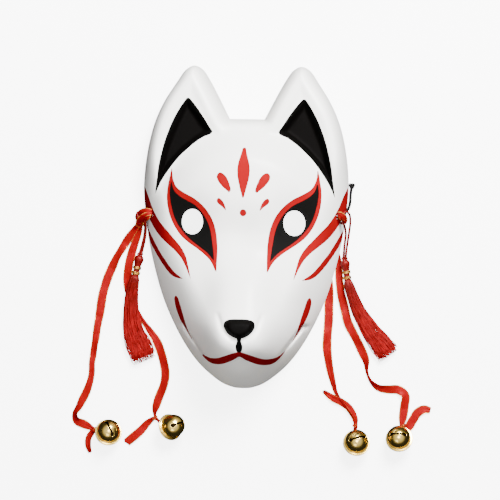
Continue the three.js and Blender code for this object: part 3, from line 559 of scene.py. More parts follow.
def painted_shell():
    """Glossy white plastic, with red and black paint where the depth inside a marking is above zero."""
    n = Nodes("painted shell", WHITE, 0.3)
    wobble = n.times(n.math("SUBTRACT", n.noise(420), 0.5), 0.22)
    red, black = (n.between(n.plus(n.attribute(name), wobble), -PAINT_EDGE, PAINT_EDGE)
                  for name in ("red_depth", "black_depth"))
    tone = n.noise(26, 3)
    white = n.mix(n.between(tone, 0.35, 0.7), (0.88, 0.868, 0.84), (0.84, 0.83, 0.8))
    strokes = n.mix(n.between(n.attribute("red_depth"), 0.0, 2.2), PAINT_DEEP_RED, PAINT_RED)
    red_paint = n.mix(n.between(n.noise(60, 3), 0.42, 0.75), strokes, PAINT_BRIGHT_RED)
    black_paint = n.mix(n.attribute("eye_share"), PAINT_BLACK, EYE_BLACK)
    n.link("Base Color", n.mix(black, n.mix(red, white, red_paint), black_paint))
    painted = n.math("MAXIMUM", red, black)
    dull = n.plus(n.times(painted, 0.12), n.times(tone, 0.1))
    n.link("Roughness", n.between(dull, 0, 0.3, 0.36, 0.8))
    relief = n.plus(n.times(n.noise(900), 0.05), n.times(painted, 0.35))
    n.raise_by(n.plus(relief, n.times(n.noise(55), 0.9)), 0.35, 0.0001)
    n.link("Coat Weight", n.between(painted, 0, 1, 0.4, 0))
    n.set("Coat Roughness", 0.3)
    n.set("Specular IOR Level", 0.02)
    return n.material


def plain_shell():
    """The unpainted inside and rim: the same plastic with a satin finish and faint flow marks."""
    n = Nodes("plain shell", WHITE, 0.42)
    flow = n.noise(35, 4)
    n.link("Base Color", n.mix(flow, (0.83, 0.825, 0.8), (0.87, 0.865, 0.845)))
    n.link("Roughness", n.between(n.noise(120, 3), 0.3, 0.7, 0.36, 0.5))
    n.raise_by(n.plus(n.times(n.noise(700, 3), 0.4), flow), 0.3, 0.0001)
    return n.material


def satin():
    """Red satin woven across the ribbon, with a gold thread along each edge that glints here and there."""
    n = Nodes("satin ribbon", (0.22, 0.003, 0.002), 0.34)
    across, along = n.pattern()
    edge = n.math("ABSOLUTE", n.math("SUBTRACT", across, 0.5))
    floats = n.streaks(n.times(across, 46.0), n.times(along, 0.35))
    base = n.mix(n.between(floats, 0.3, 0.7), (0.08, 0.0005, 0.0012), (0.25, 0.0016, 0.0026))
    tone = n.mix(n.between(n.noise(70), 0.35, 0.7), base, (0.16, 0.0011, 0.0022))
    glint = n.streaks(n.times(across, 9.0), n.times(along, 0.9), 2)
    on_edge = n.between(edge, 0.41, 0.43)
    off_end = n.between(edge, 0.497, 0.49)
    gold = n.times(n.times(on_edge, off_end), n.between(glint, 0.42, 0.52))
    n.link("Base Color", n.mix(gold, tone, (0.6, 0.27, 0.05)))
    n.link("Metallic", n.times(gold, 0.85))
    n.link("Roughness", n.between(floats, 0.2, 0.8, 0.28, 0.42))
    height = n.plus(n.times(n.wave((along, TURN / 0.42)), 0.12), n.times(floats, 0.5))
    n.raise_by(n.plus(height, n.times(on_edge, 0.8)), 0.45, 0.0001)
    n.set("Specular Tint", (1, 0.16, 0.16, 1))
    n.set("Specular IOR Level", 0.14)
    n.set("Sheen Weight", 0.02)
    n.set("Sheen Roughness", 0.3)
    n.set("Sheen Tint", (1, 0.05, 0.03, 1))
    n.set("Anisotropic", 0.5)
    return n.material


def silk(name, brightens_over):
    """Dark red silk thread with a soft lengthwise shine. Before brightens_over it is painted darker, as
    shade near a tassel's head and neck, and brighter further along; a cord that never reaches
    brightens_over keeps that darker red all along.
    """
    n = Nodes(name, (0.17, 0.002, 0.0018), 0.42)
    across, along = n.pattern()
    streak = n.streaks(n.times(across, 3.0), n.times(along, 0.12))
    shade = n.mix(n.between(streak, 0.3, 0.72), (0.03, 0.0003, 0.0006), (0.34, 0.0026, 0.004))
    tone = n.mix(n.between(n.noise(220), 0.4, 0.8), shade, (0.1, 0.0008, 0.0016))
    # Painted shade: the thread is mixed towards a near-black red before brightens_over, darkest at a
    # tassel's head and neck; for the cord this darker red is its own colour
    painted_shade_and_cord_red = n.mix(0.62, tone, (0.014, 0.0002, 0.0003))
    n.link("Base Color", n.mix(n.between(along, *brightens_over), painted_shade_and_cord_red, tone))
    n.link("Roughness", n.between(streak, 0.2, 0.8, 0.34, 0.5))
    n.raise_by(n.plus(n.times(n.wave((across, 2 * TURN), (along, TURN / 0.9)), 0.25), streak), 0.3, 0.00008)
    n.set("Specular Tint", (1, 0.2, 0.18, 1))
    n.set("Sheen Weight", 0.05)
    n.set("Sheen Roughness", 0.4)
    n.set("Sheen Tint", (1, 0.06, 0.04, 1))
    return n.material


def gold_thread():
    """Metallic thread, wound tight."""
    n = Nodes("gold thread", (0.4, 0.18, 0.03), 0.3, 0.9)
    across, along = n.pattern()
    glitter = n.noise(900, 3)
    n.link("Base Color", n.mix(n.between(glitter, 0.3, 0.7), (0.2, 0.07, 0.008), (0.5, 0.24, 0.05)))
    n.link("Roughness", n.between(glitter, 0.3, 0.7, 0.24, 0.44))
    n.raise_by(n.wave((along, TURN / 0.5), (across, TURN)), 0.5, 0.00006)
    return n.material


def brass():
    """Polished brass plate with fine wiping marks."""
    n = Nodes("polished brass", (0.6, 0.4, 0.15), 0.2, 1.0)
    cloud = n.noise(140, 3)
    stretched = n.add("ShaderNodeVectorMath", {0: n.position(), 1: (300, 2600, 700)}, operation="MULTIPLY")
    marks = n.noise(1.0, 3, stretched.outputs[0])
    n.link("Base Color", n.mix(n.between(cloud, 0.3, 0.75), (0.94, 0.67, 0.17), (0.84, 0.55, 0.1)))
    dull = n.between(cloud, 0.3, 0.7, 0.17, 0.24)
    n.link("Roughness", n.plus(dull, n.between(marks, 0.5, 0.8, 0.0, 0.1)))
    n.raise_by(n.plus(n.times(marks, 0.3), n.noise(60, 1)), 0.12, 0.00012)
    return n.material


def dark_brass():
    """The unpolished inside of a bell."""
    n = Nodes("dull brass", (0.3, 0.19, 0.07), 0.5, 0.9)
    cloud = n.noise(200, 4)
    n.link("Base Color", n.mix(cloud, (0.05, 0.026, 0.008), (0.12, 0.07, 0.02)))
    n.link("Roughness", n.between(cloud, 0.3, 0.7, 0.4, 0.65))
    return n.material


def black_elastic():
    """A braided black cover."""
    n = Nodes("black elastic", (0.002, 0.0018, 0.0018), 0.8)
    across, along = n.pattern()
    left, right = (n.wave((across, 8 * TURN), (along, way * TURN / 0.9)) for way in (1, -1))
    braid = n.math("MAXIMUM", left, right)
    n.link("Base Color", n.mix(n.between(braid, -0.2, 1), (0.0008, 0.0008, 0.0008), (0.0034, 0.003, 0.003)))
    n.link("Roughness", n.between(n.noise(500), 0.3, 0.7, 0.62, 0.82))
    n.raise_by(braid, 0.7, 0.00012)
    n.set("Specular IOR Level", 0.1)
    return n.material


def floor_paper():
    """A white table lit from within, as for a picture on plain white."""
    n = Nodes("table", (0.8, 0.8, 0.8), 0.9)
    n.link("Base Color", n.mix(n.noise(6), (0.79, 0.79, 0.79), (0.81, 0.81, 0.81)))
    n.set("Emission Color", (1, 1, 1, 1))
    n.set("Emission Strength", TABLE["glow"])
    n.set("Specular IOR Level", 0.0)
    return n.material


SHELL = painted_shell()
SHELL_PLAIN = plain_shell()
SATIN = satin()
# The tassel's silk is painted darker near its head and neck, as shade; the cord's silk is the darker red
# all along
SILK = silk("red_thread", (6, 42))
SILK_CORD = silk("red_cord", (400, 500))
GOLD = gold_thread()
BRASS = brass()
BRASS_INSIDE = dark_brass()
ELASTIC_COVER = black_elastic()


# Bells: where each lies, which way its slotted dome leans, how far, and how it is turned on its own axis

BELLS = {
    "left_outer": {"x": -107.1, "y": -166.9, "lean": 64, "tilt": 24, "turn": -37},
    "left_inner": {"x": -57.4, "y": -161.8, "lean": 28, "tilt": 42, "turn": 80},
    "right_inner": {"x": 92.2, "y": -171.0, "lean": 85, "tilt": 24, "turn": 21},
    "right_outer": {"x": 126.2, "y": -167.0, "lean": 108, "tilt": 24, "turn": -18},
}
LOOP_MIDDLE = BELL["flange_thick"] / 2 + BELL["back"] + BELL["loop"] - BELL["wire"] + 0.1


def arc(radius, depth, rise, start, end, steps):
    a = np.radians(np.linspace(start, end, steps + 1))
    return np.stack([np.maximum(radius * np.cos(a), 1e-4), rise + depth * np.sin(a)], axis=1)


def lathe(profile, sides):
    """The points of a profile turned round Z, ring after ring."""
    turn = whole_turn(sides)
    rings = np.stack([profile[:, :1] * np.cos(turn), profile[:, :1] * np.sin(turn),
                      np.repeat(profile[:, 1:], sides, axis=1)], axis=2)
    return rings.reshape(-1, 3)


def bell_mesh():
    """One bell at its own origin, dome up: a crimped shell with a slot, and a wire loop below."""
    half = BELL["flange_thick"] / 2
    lip = 0.45
    outside = np.vstack([
        arc(BELL["radius"], BELL["back"], -half, -90, -8, 14),
        [(BELL["radius"] + 0.35, -half - 0.05), (BELL["flange"] - lip, -half)],
        arc(lip, half, 0, -90, 90, 8) + [(BELL["flange"] - lip, 0)],
        [(BELL["radius"] + 0.5, half), (BELL["radius"] + 0.14, half + 0.25), (BELL["radius"], half + 0.8)],
        arc(BELL["radius"], BELL["radius"], BELL["side"], 0, 90, 22),
    ])
    skin = BELL["wall"]
    inside = np.vstack([
        arc(BELL["radius"] - skin, BELL["radius"] - skin, BELL["side"], 90, 0, 12),
        arc(BELL["radius"] - skin, BELL["back"] - skin, -half, 0, -90, 8),
    ])
    sides = 72
    shell = ring_faces(len(outside), sides)
    faces = shell + ring_faces(len(inside), sides, len(outside) * sides)
    points = np.vstack([lathe(outside, sides), lathe(inside, sides)])
    bell = new_object("bell", points, faces, [BRASS, BRASS_INSIDE], 35)
    for polygon in bell.data.polygons[len(shell):]:
        polygon.material_index = 1
    merge_close(bell, 0.001)
    turn_inside_out(bell, 1)
    top = BELL["side"] + BELL["radius"]
    depth = BELL["radius"] * 0.9
    cut(bell, slot_cutter(top, depth))
    turn = whole_turn(48)
    line = BELL["loop"] * np.stack([np.cos(turn), 0 * turn, np.sin(turn)], axis=1) - [0, 0, LOOP_MIDDLE]
    loop = ring_tube("loop", line, BELL["wire"], BRASS, 14)
    return joined("bell", [bell, loop])


def merge_close(obj, distance):
    b = bmesh.new()
    b.from_mesh(obj.data)
    bmesh.ops.remove_doubles(b, verts=b.verts, dist=distance * MM)
    bmesh.ops.recalc_face_normals(b, faces=b.faces)
    b.to_mesh(obj.data)
    b.free()


def turn_inside_out(obj, material_index):
    """Turns the faces of one material to look the other way, as round a hollow."""
    b = bmesh.new()
    b.from_mesh(obj.data)
    bmesh.ops.reverse_faces(b, faces=[f for f in b.faces if f.material_index == material_index])
    b.to_mesh(obj.data)
    b.free()


def ring_tube(name, line, radius, material, sides):
    """A tube round a closed line."""
    ahead = unit(np.roll(line, -1, axis=0) - np.roll(line, 1, axis=0))
    side = unit(line - line.mean(axis=0))
    up = np.cross(ahead, side)
    turn = whole_turn(sides)
    circles = side[:, None] * np.cos(turn)[:, None] + up[:, None] * np.sin(turn)[:, None]
    rings = line[:, None] + radius * circles
    rows = len(line)
    obj = new_object(name, rings.reshape(-1, 3), ring_faces(rows, sides, looped=True), [material], 60)
    along = np.arange(rows) * np.linalg.norm(line[1] - line[0])
    set_uv(obj, np.stack([np.tile(turn / TURN, rows), np.repeat(along, sides)], axis=1))
    merge_close(obj, 0)
    return obj


def slot_cutter(top, depth):
    """A straight slot with a round hole at each end, as one prism."""
    half = BELL["slot"] / 2
    end = BELL["slot_end"]
    wide = BELL["slot_width"] / 2
    meet = math.asin(wide / end)
    outline = []
    for sign, middle in ((1, half), (-1, -half)):
        for a in np.linspace(-math.pi / 2 + meet, 3 * math.pi / 2 - meet, 20):
            outline.append((sign * end * math.cos(a), middle + sign * end * math.sin(a)))
    outline = np.array(outline)
    count = len(outline)
    low = np.column_stack([outline, np.full(count, top - depth / 2)])
    high = np.column_stack([outline, np.full(count, top + depth / 2)])
    cutter = new_object("slot", np.vstack([low, high]), tube_faces(2, count), [BRASS, BRASS_INSIDE])
    merge_close(cutter, 0)
    return cutter


def place_bells():
    """Copies of the bell on the table, and for each the loop's middle and the way through it."""
    first = bell_mesh()
    points = np.array([v.co for v in first.data.vertices])
    loops = {}
    for name, b in BELLS.items():
        lean, tilt, turn = (Matrix.Rotation(math.radians(b[word]), 4, axis)
                            for word, axis in (("lean", "Z"), ("tilt", "Y"), ("turn", "Z")))
        turned = lean @ tilt @ turn
        matrix = np.array(turned.to_3x3())
        rise = 0.15 - (points @ matrix.T)[:, 2].min() / MM
        at = Vector((b["x"], b["y"], rise))
        obj = bpy.data.objects.new(f"brass_bell_{name}", first.data.copy())
        bpy.context.scene.collection.objects.link(obj)
        obj.data.transform(turned)
        obj.location = at * MM
        dress(obj, f"bell_{name}")
        middle = turned @ Vector((0, 0, -LOOP_MIDDLE)) + at
        loops[name] = (np.array(middle), np.array(turned @ Vector((0, 1, 0))))
    bpy.data.objects.remove(first)
    return loops


LOOPS = place_bells()


# Ribbons: each point of a route is x, y, z and how wide the ribbon is spread, from 0, gathered, to 1

LEFT_KNOT = (-84.4, 3.2, 6.4)
LEFT_OUTER = [
    (*LEFT_KNOT, 0.3), (-88.6, -2.6, 4.4, 0.6), (-93, -8.6, 2.6, 0.85), (-97.8, -16, 0.9, 0.95),
    (-104.8, -28.6, 0.4, 1), (-110.4, -41.7, 0.4, 1), (-114.5, -56.2, 0.4, 1), (-116.4, -69.3, 0.4, 1),
    (-118.4, -82.3, 0.4, 0.8), (-120.3, -96.8, 0.4, 0.8), (-122.2, -111.3, 0.4, 0.6),
    (-122.6, -121.4, 0.4, 0.6), (-126.2, -134.5, 0.4, 0.9), (-131.8, -146.2, 0.4, 1),
    (-135.2, -153, 0.4, 0.95), (-133.6, -159, 0.4, 0.95), (-127.6, -161.8, 0.6, 0.95),
    (-122.4, -164.2, 1.4, 0.5), (-118.8, -165.8, 1.7, 0),
]
LEFT_INNER = [
    (*LEFT_KNOT, 0.3), (-85.6, -3.4, 4, 0.6), (-88.4, -12.5, 2.2, 0.8), (-91.6, -22.6, 0.8, 0.95),
    (-93.9, -32.7, 0.4, 1), (-94.7, -44.3, 0.4, 1), (-92.7, -57.2, 0.4, 0.9), (-88.4, -66.6, 0.4, 0.6),
    (-83, -75.1, 0.4, 0.35), (-76.3, -84.4, 0.4, 0.6), (-70.3, -92.9, 0.4, 0.9), (-65.8, -104.4, 0.4, 1),
    (-62.7, -118.7, 0.4, 1), (-63.9, -128.9, 0.4, 1), (-68.2, -140.5, 0.4, 1), (-70.4, -149.2, 1, 0.8),
    (-70, -155.4, 1.8, 0),
]
LEFT_HOLE_HALF = [
    (-72.4, 10, 16, 0.3), (-74.5, 10.6, 16.8, 0.55), (-78.6, 10.6, 17.2, 0.9), (-82, 9.6, 15, 1),
    (-85.2, 6.6, 9.8, 0.9), (*LEFT_KNOT, 0.6),
]
LEFT_RIM_HALF = [
    (-72.4, 10, 16, 0), (-70.6, 9.4, 13, 0), (-70.8, 7.8, 8, 0), (-74, 5.4, 2.4, 0), (-77.5, 3.6, 1, 0),
    (-81.6, 2.4, 1, 0), (-84, 2.4, 2.6, 0), (*LEFT_KNOT, 0.3),
]
LEFT_OUTER_TAIL = [
    (-118.8, -165.8, 1.7, 0.1), (-121.6, -168.4, 0.8, 0.5), (-124.2, -173, 0.4, 0.55),
    (-124.3, -179, 0.4, 0.5), (-122.4, -185, 0.4, 0.1),
]
LEFT_INNER_TAIL = [
    (-70, -155.4, 1.8, 0.1), (-75.6, -158.8, 0.8, 0.6), (-81, -164.8, 0.4, 0.9), (-87, -170.4, 0.4, 1),
    (-93.6, -176, 0.4, 0.9),
]
RIGHT_FOLD = (80.2, 8.3, 18.4, 0.45)
RIGHT_OUTER = [
    RIGHT_FOLD, (79.2, 8.5, 16.6, 0.35), (76.6, 8.9, 15.4, 0), (73.6, 8.9, 15.2, 0), (70.4, 8.4, 14, 0),
    (68.6, 4, 9, 0), (70.4, -5, 3.6, 0), (73.6, -15, 1.2, 0), (75.6, -23.9, 0.8, 0.3),
    (75.8, -32.6, 0.5, 0.7), (76.4, -41.2, 0.4, 0.8), (78.2, -52.7, 0.4, 1), (81, -64.1, 0.4, 1),
    (84, -75.5, 0.4, 1), (89.1, -85.5, 0.4, 1), (94.3, -95.4, 0.4, 1), (98.6, -105.4, 0.4, 0.9),
    (100, -115.4, 0.4, 0.4), (103, -122.2, 0.4, 0.5), (108.8, -127, 0.4, 0.8), (117.5, -128.4, 0.4, 1),
    (126, -128.8, 0.4, 1), (131, -133.4, 0.4, 1), (130.5, -141.4, 0.4, 1), (129.4, -150.7, 0.5, 0.9),
    (128.6, -157.6, 1.7, 0.3),
]
RIGHT_INNER = [
    RIGHT_FOLD, (79, 8.4, 20, 0.35), (76.8, 8.7, 19.4, 0), (74.4, 8.9, 17.7, 0), (70.6, 8.7, 17.2, 0),
    (66.2, 4.6, 12.6, 0), (63.6, -5, 6, 0), (62.6, -18, 1.6, 0), (64, -30, 0.7, 0.3),
    (67.4, -40, 0.5, 0.8), (68.4, -50, 0.4, 1), (68.4, -60, 0.4, 1), (68.4, -73, 0.4, 1),
    (67.6, -87.4, 0.4, 1), (67.6, -97.4, 0.4, 1), (69.8, -111.7, 0.4, 0.8), (72.9, -124.6, 0.4, 0.6),
    (76.4, -134.2, 0.4, 0.4), (83.3, -143.6, 0.4, 0.4), (88.6, -151.2, 0.6, 0.4), (91.4, -158, 1.7, 0),
]
RIGHT_OUTER_TAIL = [
    (128.9, -157.9, 1.8, 0.3), (133.4, -158.6, 1, 0.9), (137.4, -152.6, 0.5, 1), (141.2, -146.6, 0.4, 1),
    (146.6, -143.8, 0.4, 0.9), (152, -145, 0.4, 0.5),
]
RIGHT_INNER_TAIL = [
    (91.4, -158, 1.7, 0.1), (91.2, -153.4, 2, 0.5), (87, -145, 1.8, 0.7), (80, -139.6, 1.7, 0.8),
    (72, -135.8, 1.6, 0.7), (64.8, -130.6, 0.4, 0.1),
]
# The turn round the wire of a bell's loop: how far along the way through it, and how far out to the knot
TURN_ROUND_WIRE = [(-2.2, 4.2), (-2.8, 1.4), (-1.2, 0), (1.2, 0), (2.8, 1.4), (2.2, 4.2)]


def through_loop(name, knot):
    loop, way = LOOPS[name]
    out = np.array(knot[:3]) - loop
    out -= way * np.dot(out, way)
    out /= np.linalg.norm(out)
    turn = []
    for along, away in TURN_ROUND_WIRE:
        p = loop + way * along + out * away
        if away > 2:
            p[2] = min(p[2], loop[2]) - 0.8
        turn.append((*p, 0))
    return turn


def ribbon(name, points, rolls, ripple=0.35, step=0.7, seed=1):
    """A satin strip along its route: crowned where it is spread, and folded up where it is gathered."""
    route = np.array([p[:3] for p in points], float)
    line, marks = run_along(route, step)
    spread = np.clip(through([(i, p[3]) for i, p in enumerate(points)], marks), 0, 1)
    ahead = unit(np.gradient(line, axis=0))
    wide = np.empty_like(ahead)
    flat = np.array([0, 1.0, 0])
    for i, a in enumerate(ahead):
        level = np.array([-a[1], a[0], 0])
        if np.linalg.norm(level) > 0.35:
            flat = level * (1 if np.dot(level, flat) >= 0 else -1)
        w = flat - a * np.dot(flat, a)
        wide[i] = w / np.linalg.norm(w)
    deep = np.cross(ahead, wide)
    along = distance_along(line)
    noise = np.random.default_rng(seed)
    waves = noise.uniform(0, TURN, 6)
    roll = sum(much * np.sin(along / reach + wave) for (much, reach), wave in zip(SWAYS, waves)) * spread
    roll += np.radians(through(rolls, marks))
    c, s = np.cos(roll)[:, None], np.sin(roll)[:, None]
    wide, deep = wide * c + deep * s, deep * c - wide * s
    columns = RIBBON["columns"]
    across = np.linspace(-1, 1, columns)
    half = (RIBBON["gathered"] + (RIBBON["laid_width"] - RIBBON["gathered"]) * spread) / 2
    crown = RIBBON["crown"] * spread[:, None] * (1 - across ** 2)
    ruffle = ripple * spread[:, None] * across ** 2 * np.sin(along / 3.1 + waves[2])[:, None]
    ruffle += ripple * 0.6 * spread[:, None] * across * np.sin(along / 5.3 + waves[3])[:, None]
    gathers = RIBBON["gathers"] * (1 - spread)[:, None] * np.cos(2.5 * math.pi * across)
    rise = crown + ruffle + gathers
    middle = (line[:, None] + wide[:, None] * (half[:, None] * across)[:, :, None]
              + deep[:, None] * rise[:, :, None])
    slant = np.gradient(rise, axis=1) / np.maximum(half[:, None] * 0.2, 0.05)
    normal = deep[:, None] - wide[:, None] * slant[:, :, None]
    skin = unit(normal) * RIBBON["thickness"] / 2
    rings = np.concatenate([middle + skin, (middle - skin)[:, ::-1]], axis=1)
    jag = np.repeat(noise.uniform(*FRAY, 6), 2)[:columns]
    rings[-1] += ahead[-1] * np.concatenate([jag, jag[::-1]])[:, None]
    lift = np.maximum(RIBBON["lowest"] - rings[:, :, 2].min(axis=1), 0)
    rings[:, :, 2] += lift[:, None]
    sides = rings.shape[1]
    obj = new_object(name, rings.reshape(-1, 3), tube_faces(len(line), sides), [SATIN], 60)
    u = np.concatenate([(across + 1) / 2, (across[::-1] + 1) / 2])
    set_uv(obj, np.stack([np.tile(u, len(line)), np.repeat(along, sides)], axis=1))
    line[:, 2] += lift
    return obj, line


def knot(name, middle, size, thickness, material, flatness=0.75, spin=0.0):
    """An overhand knot pulled tight, as a cord along a trefoil."""
    t = whole_turn(72)
    line = np.stack([np.sin(t) + 2 * np.sin(2 * t), np.cos(t) - 2 * np.cos(2 * t),
                     -1.1 * np.sin(3 * t) * flatness], axis=1) * size / 3
    c, s = math.cos(spin), math.sin(spin)
    line = line @ np.array([[c, s, 0], [-s, c, 0], [0, 0, 1]])
    line = line + np.array(middle[:3])
    return rope(name, np.vstack([line, line[:2]]), thickness, material, smooth_line=False, sides=12,
                strands=3, pitch=9)[0]


# How the strips lie turned over, in degrees at places counted in route points; a half turn is a twist
ROLLS = {
    "left_outer": [
        (0, 0), (5, 0), (6, 10), (8, 22), (9, 14), (10, -8), (12, 6), (13, -22), (14, 18), (15, -6),
        (17, 10), (18, 26), (19, 38), (20, 24), (22, 10), (30, 0),
    ],
    "left_inner": [
        (0, 0), (8, -8), (12, 12), (15, 22), (17, -14), (18.5, 20), (20, 20), (21.5, 18), (22.6, 44),
        (24, 24), (30, 0),
    ],
    "right_outer": [
        (0, 0), (8, 0), (12, -14), (15, 18), (16, 46), (17.5, 60), (19, 30), (20, 6), (22, -16), (24, 14),
        (30, 0),
    ],
    "right_inner": [
        (0, 0), (9, 0), (11, 18), (13, -14), (15, 20), (17, 44), (19, 58), (20, 30), (30, 0),
    ],
}


# The last turn of each side's knot, laid over the hole
LEFT_WRAP = [
    (-75, 8.6, 15.4, 0.2), (-76.6, 8.4, 16.8, 0.6), (-79.4, 6.8, 16.2, 0.95), (-82.4, 4.6, 13.4, 1),
    (-84.6, 2.2, 9.8, 0.9), (-85, 0.2, 6.6, 0.5), (-83.6, 0.6, 4.4, 0.1),
]
LEFT_WRAP_ROLL = [(0, -10), (3, -26), (6, -14)]
RIGHT_WRAP = [
    (73.4, 11.4, 17.8, 0), (74.6, 11.4, 20.2, 0.35), (76.8, 10.2, 21, 0.75), (78.8, 7.9, 19.8, 0.8),
    (79.4, 5.6, 17.6, 0.5), (78.4, 4.2, 15.6, 0.1), (76.8, 4.4, 14.6, 0),
]
RIGHT_WRAP_ROLL = [(0, 14), (3, 24), (6, 10)]


def add_ribbon(side, which, start, main, tail, seed):
    """One half of a side's ribbon, from its hole to its loose end past the bell's knot."""
    name = f"{side}_{which}"
    end = main[-1]
    whole = start + (main[1:] if start else main) + through_loop(name, end) + tail
    obj, line = ribbon(f"satin_{name}", whole, ROLLS[name], seed=seed)
    pieces = [obj, knot("bell knot", (end[0], end[1], 1.9), *BELL_KNOT, SATIN, 0.6, seed)]
    if name == "left_outer":
        middle = (LEFT_KNOT[0] + 0.6, LEFT_KNOT[1] + 0.4, LEFT_KNOT[2] + 0.6)
        pieces.append(knot("side knot", middle, *SIDE_KNOT, SATIN, 0.9, 0.6))
    obj = joined(obj.name, pieces)
    dress(obj, f"ribbon_{side}")


def add_wrap(side, points, rolls, seed):
    """The last turn of a side's knot, a piece of its own that lies over the knot."""
    obj = ribbon(f"satin_{side}_wrap", points, rolls, 0.2, 0.5, seed)[0]
    dress(obj, f"ribbon_{side}")


add_wrap("left", LEFT_WRAP, LEFT_WRAP_ROLL, 2)
add_wrap("right", RIGHT_WRAP, RIGHT_WRAP_ROLL, 4)
add_ribbon("left", "outer", LEFT_HOLE_HALF, LEFT_OUTER, LEFT_OUTER_TAIL, 3)
add_ribbon("left", "inner", LEFT_RIM_HALF, LEFT_INNER, LEFT_INNER_TAIL, 5)
add_ribbon("right", "outer", [], RIGHT_OUTER, RIGHT_OUTER_TAIL, 8)
add_ribbon("right", "inner", [], RIGHT_INNER, RIGHT_INNER_TAIL, 11)


# The elastic

ELASTIC_ROUTE = [
    (85.1, 34.6, 2.4), (84.3, 28.2, 2.3), (84, 22, 3.4), (82.8, 16.8, 7.6), (80.6, 13.6, 12),
    (77.9, 11.8, 15.2), (75.4, 11.3, 15.8), (73, 11.4, 15.8), (69, 12.6, 13), (62, 16.5, 5.4),
    (53, 22, 1.4), (42, 26, 1.3), (30, 24.4, 1.3), (18, 15, 1.3), (6, 4, 1.3), (-8, 0, 1.3),
    (-18, 9, 1.3), (-24, 22, 1.3), (-36, 29, 1.3), (-50, 27, 1.3), (-60, 18.4, 3.4), (-65, 12.4, 7),
    (-67.9, 8.9, 9),
]


def add_elastic():
    obj, line = rope("elastic", ELASTIC_ROUTE, ELASTIC_DIAMETER, ELASTIC_COVER, step=0.8, sides=14)
    outer = knot("end knot", ELASTIC_ROUTE[0], *ELASTIC_END, ELASTIC_COVER, 0.9)
    inner = knot("inner knot", ELASTIC_ROUTE[-1], *ELASTIC_INNER, ELASTIC_COVER, 0.9)
    obj = joined("black_elastic", [obj, outer, inner])
    dress(obj, "elastic_cord")


add_elastic()


# Tassels: rows of the skirt are x, y, half width and half height

TASSELS = {
    "left": {
        "head": (-85.2, -27.6), "bands": [(-86.6, -34.2), (-87.4, -38.4)],
        "skirt": [
            (-88.6, -43.4, 3.9, 3.4), (-90.3, -52.8, 4.9, 3.4), (-91, -61.5, 5.7, 3.2),
            (-90.9, -73, 6.6, 3), (-89, -84.5, 8, 2.7), (-86, -93.1, 9.2, 2.5), (-82, -102.5, 9.6, 2.3),
            (-79, -109.4, 9.2, 2.1),
        ],
    },
    "right": {
        "head": (80.9, -28.2), "bands": [(81.9, -34.8), (82.6, -39.2)],
        "skirt": [
            (83.8, -44.6, 3.8, 3.4), (87.7, -55.3, 4.6, 3.4), (91.9, -65.2, 5.4, 3.2),
            (97.6, -75.1, 6.5, 3), (104.6, -85, 7.6, 2.7), (112.4, -94.8, 8.6, 2.4),
            (117.4, -101.4, 9.2, 2.2),
        ],
    },
}
TASSEL_LEVEL = TASSEL["gap"] + TASSEL["head"]
THREAD = {
    "count": 260, "radius": 0.3, "sides": 5, "step": 3.2, "gather": 0.75, "stray": 0.35, "lowest": 0.95,
}
BUNDLES = 11
BUNDLE = TURN / BUNDLES


def down_tassel(side):
    t = TASSELS[side]
    way = np.array(t["bands"][0]) - np.array(t["head"])
    return way / np.linalg.norm(way)


def tassel_head(side):
    """The wrapped head and neck, with the threads' ridges running over them."""
    t = TASSELS[side]
    way = np.append(down_tassel(side), 0)
    across = np.array([-way[1], way[0], 0])
    head = np.array([*t["head"], TASSEL_LEVEL])
    first_band = np.array([*t["bands"][0], TASSEL_LEVEL])
    last_band = np.array([*t["bands"][1], TASSEL_LEVEL])
    r, neck = TASSEL["head"], TASSEL["neck"]
    reach = np.linalg.norm(first_band - head)
    end = np.linalg.norm(last_band - head) + 3.5
    angles = np.radians([6, 20, 35, 50, 65, 80, 95, 110, 122])
    profile = [(-r * math.cos(a), r * math.sin(a) ** 0.8) for a in angles]
    profile += [(reach - 1.3, neck * 1.04), (reach, neck), (end - 2, neck), (end, neck * 1.1)]
    profile = run_along(profile, 0.4)[0]
    sides = 84
    turn = whole_turn(sides)
    ridge = 1 + 0.025 * np.cos(28 * turn)
    rings = (head + way * profile[:, :1][:, None] + (profile[:, 1:2] * ridge)[:, :, None]
             * (across * np.cos(turn)[:, None] + np.array([0, 0, 1.0]) * np.sin(turn)[:, None]))
    obj = new_object("head", rings.reshape(-1, 3), tube_faces(len(profile), sides), [SILK], 60)
    set_uv(obj, np.stack([np.tile(turn * 4, len(profile)), np.repeat(profile[:, 0], sides)], axis=1))
    return obj


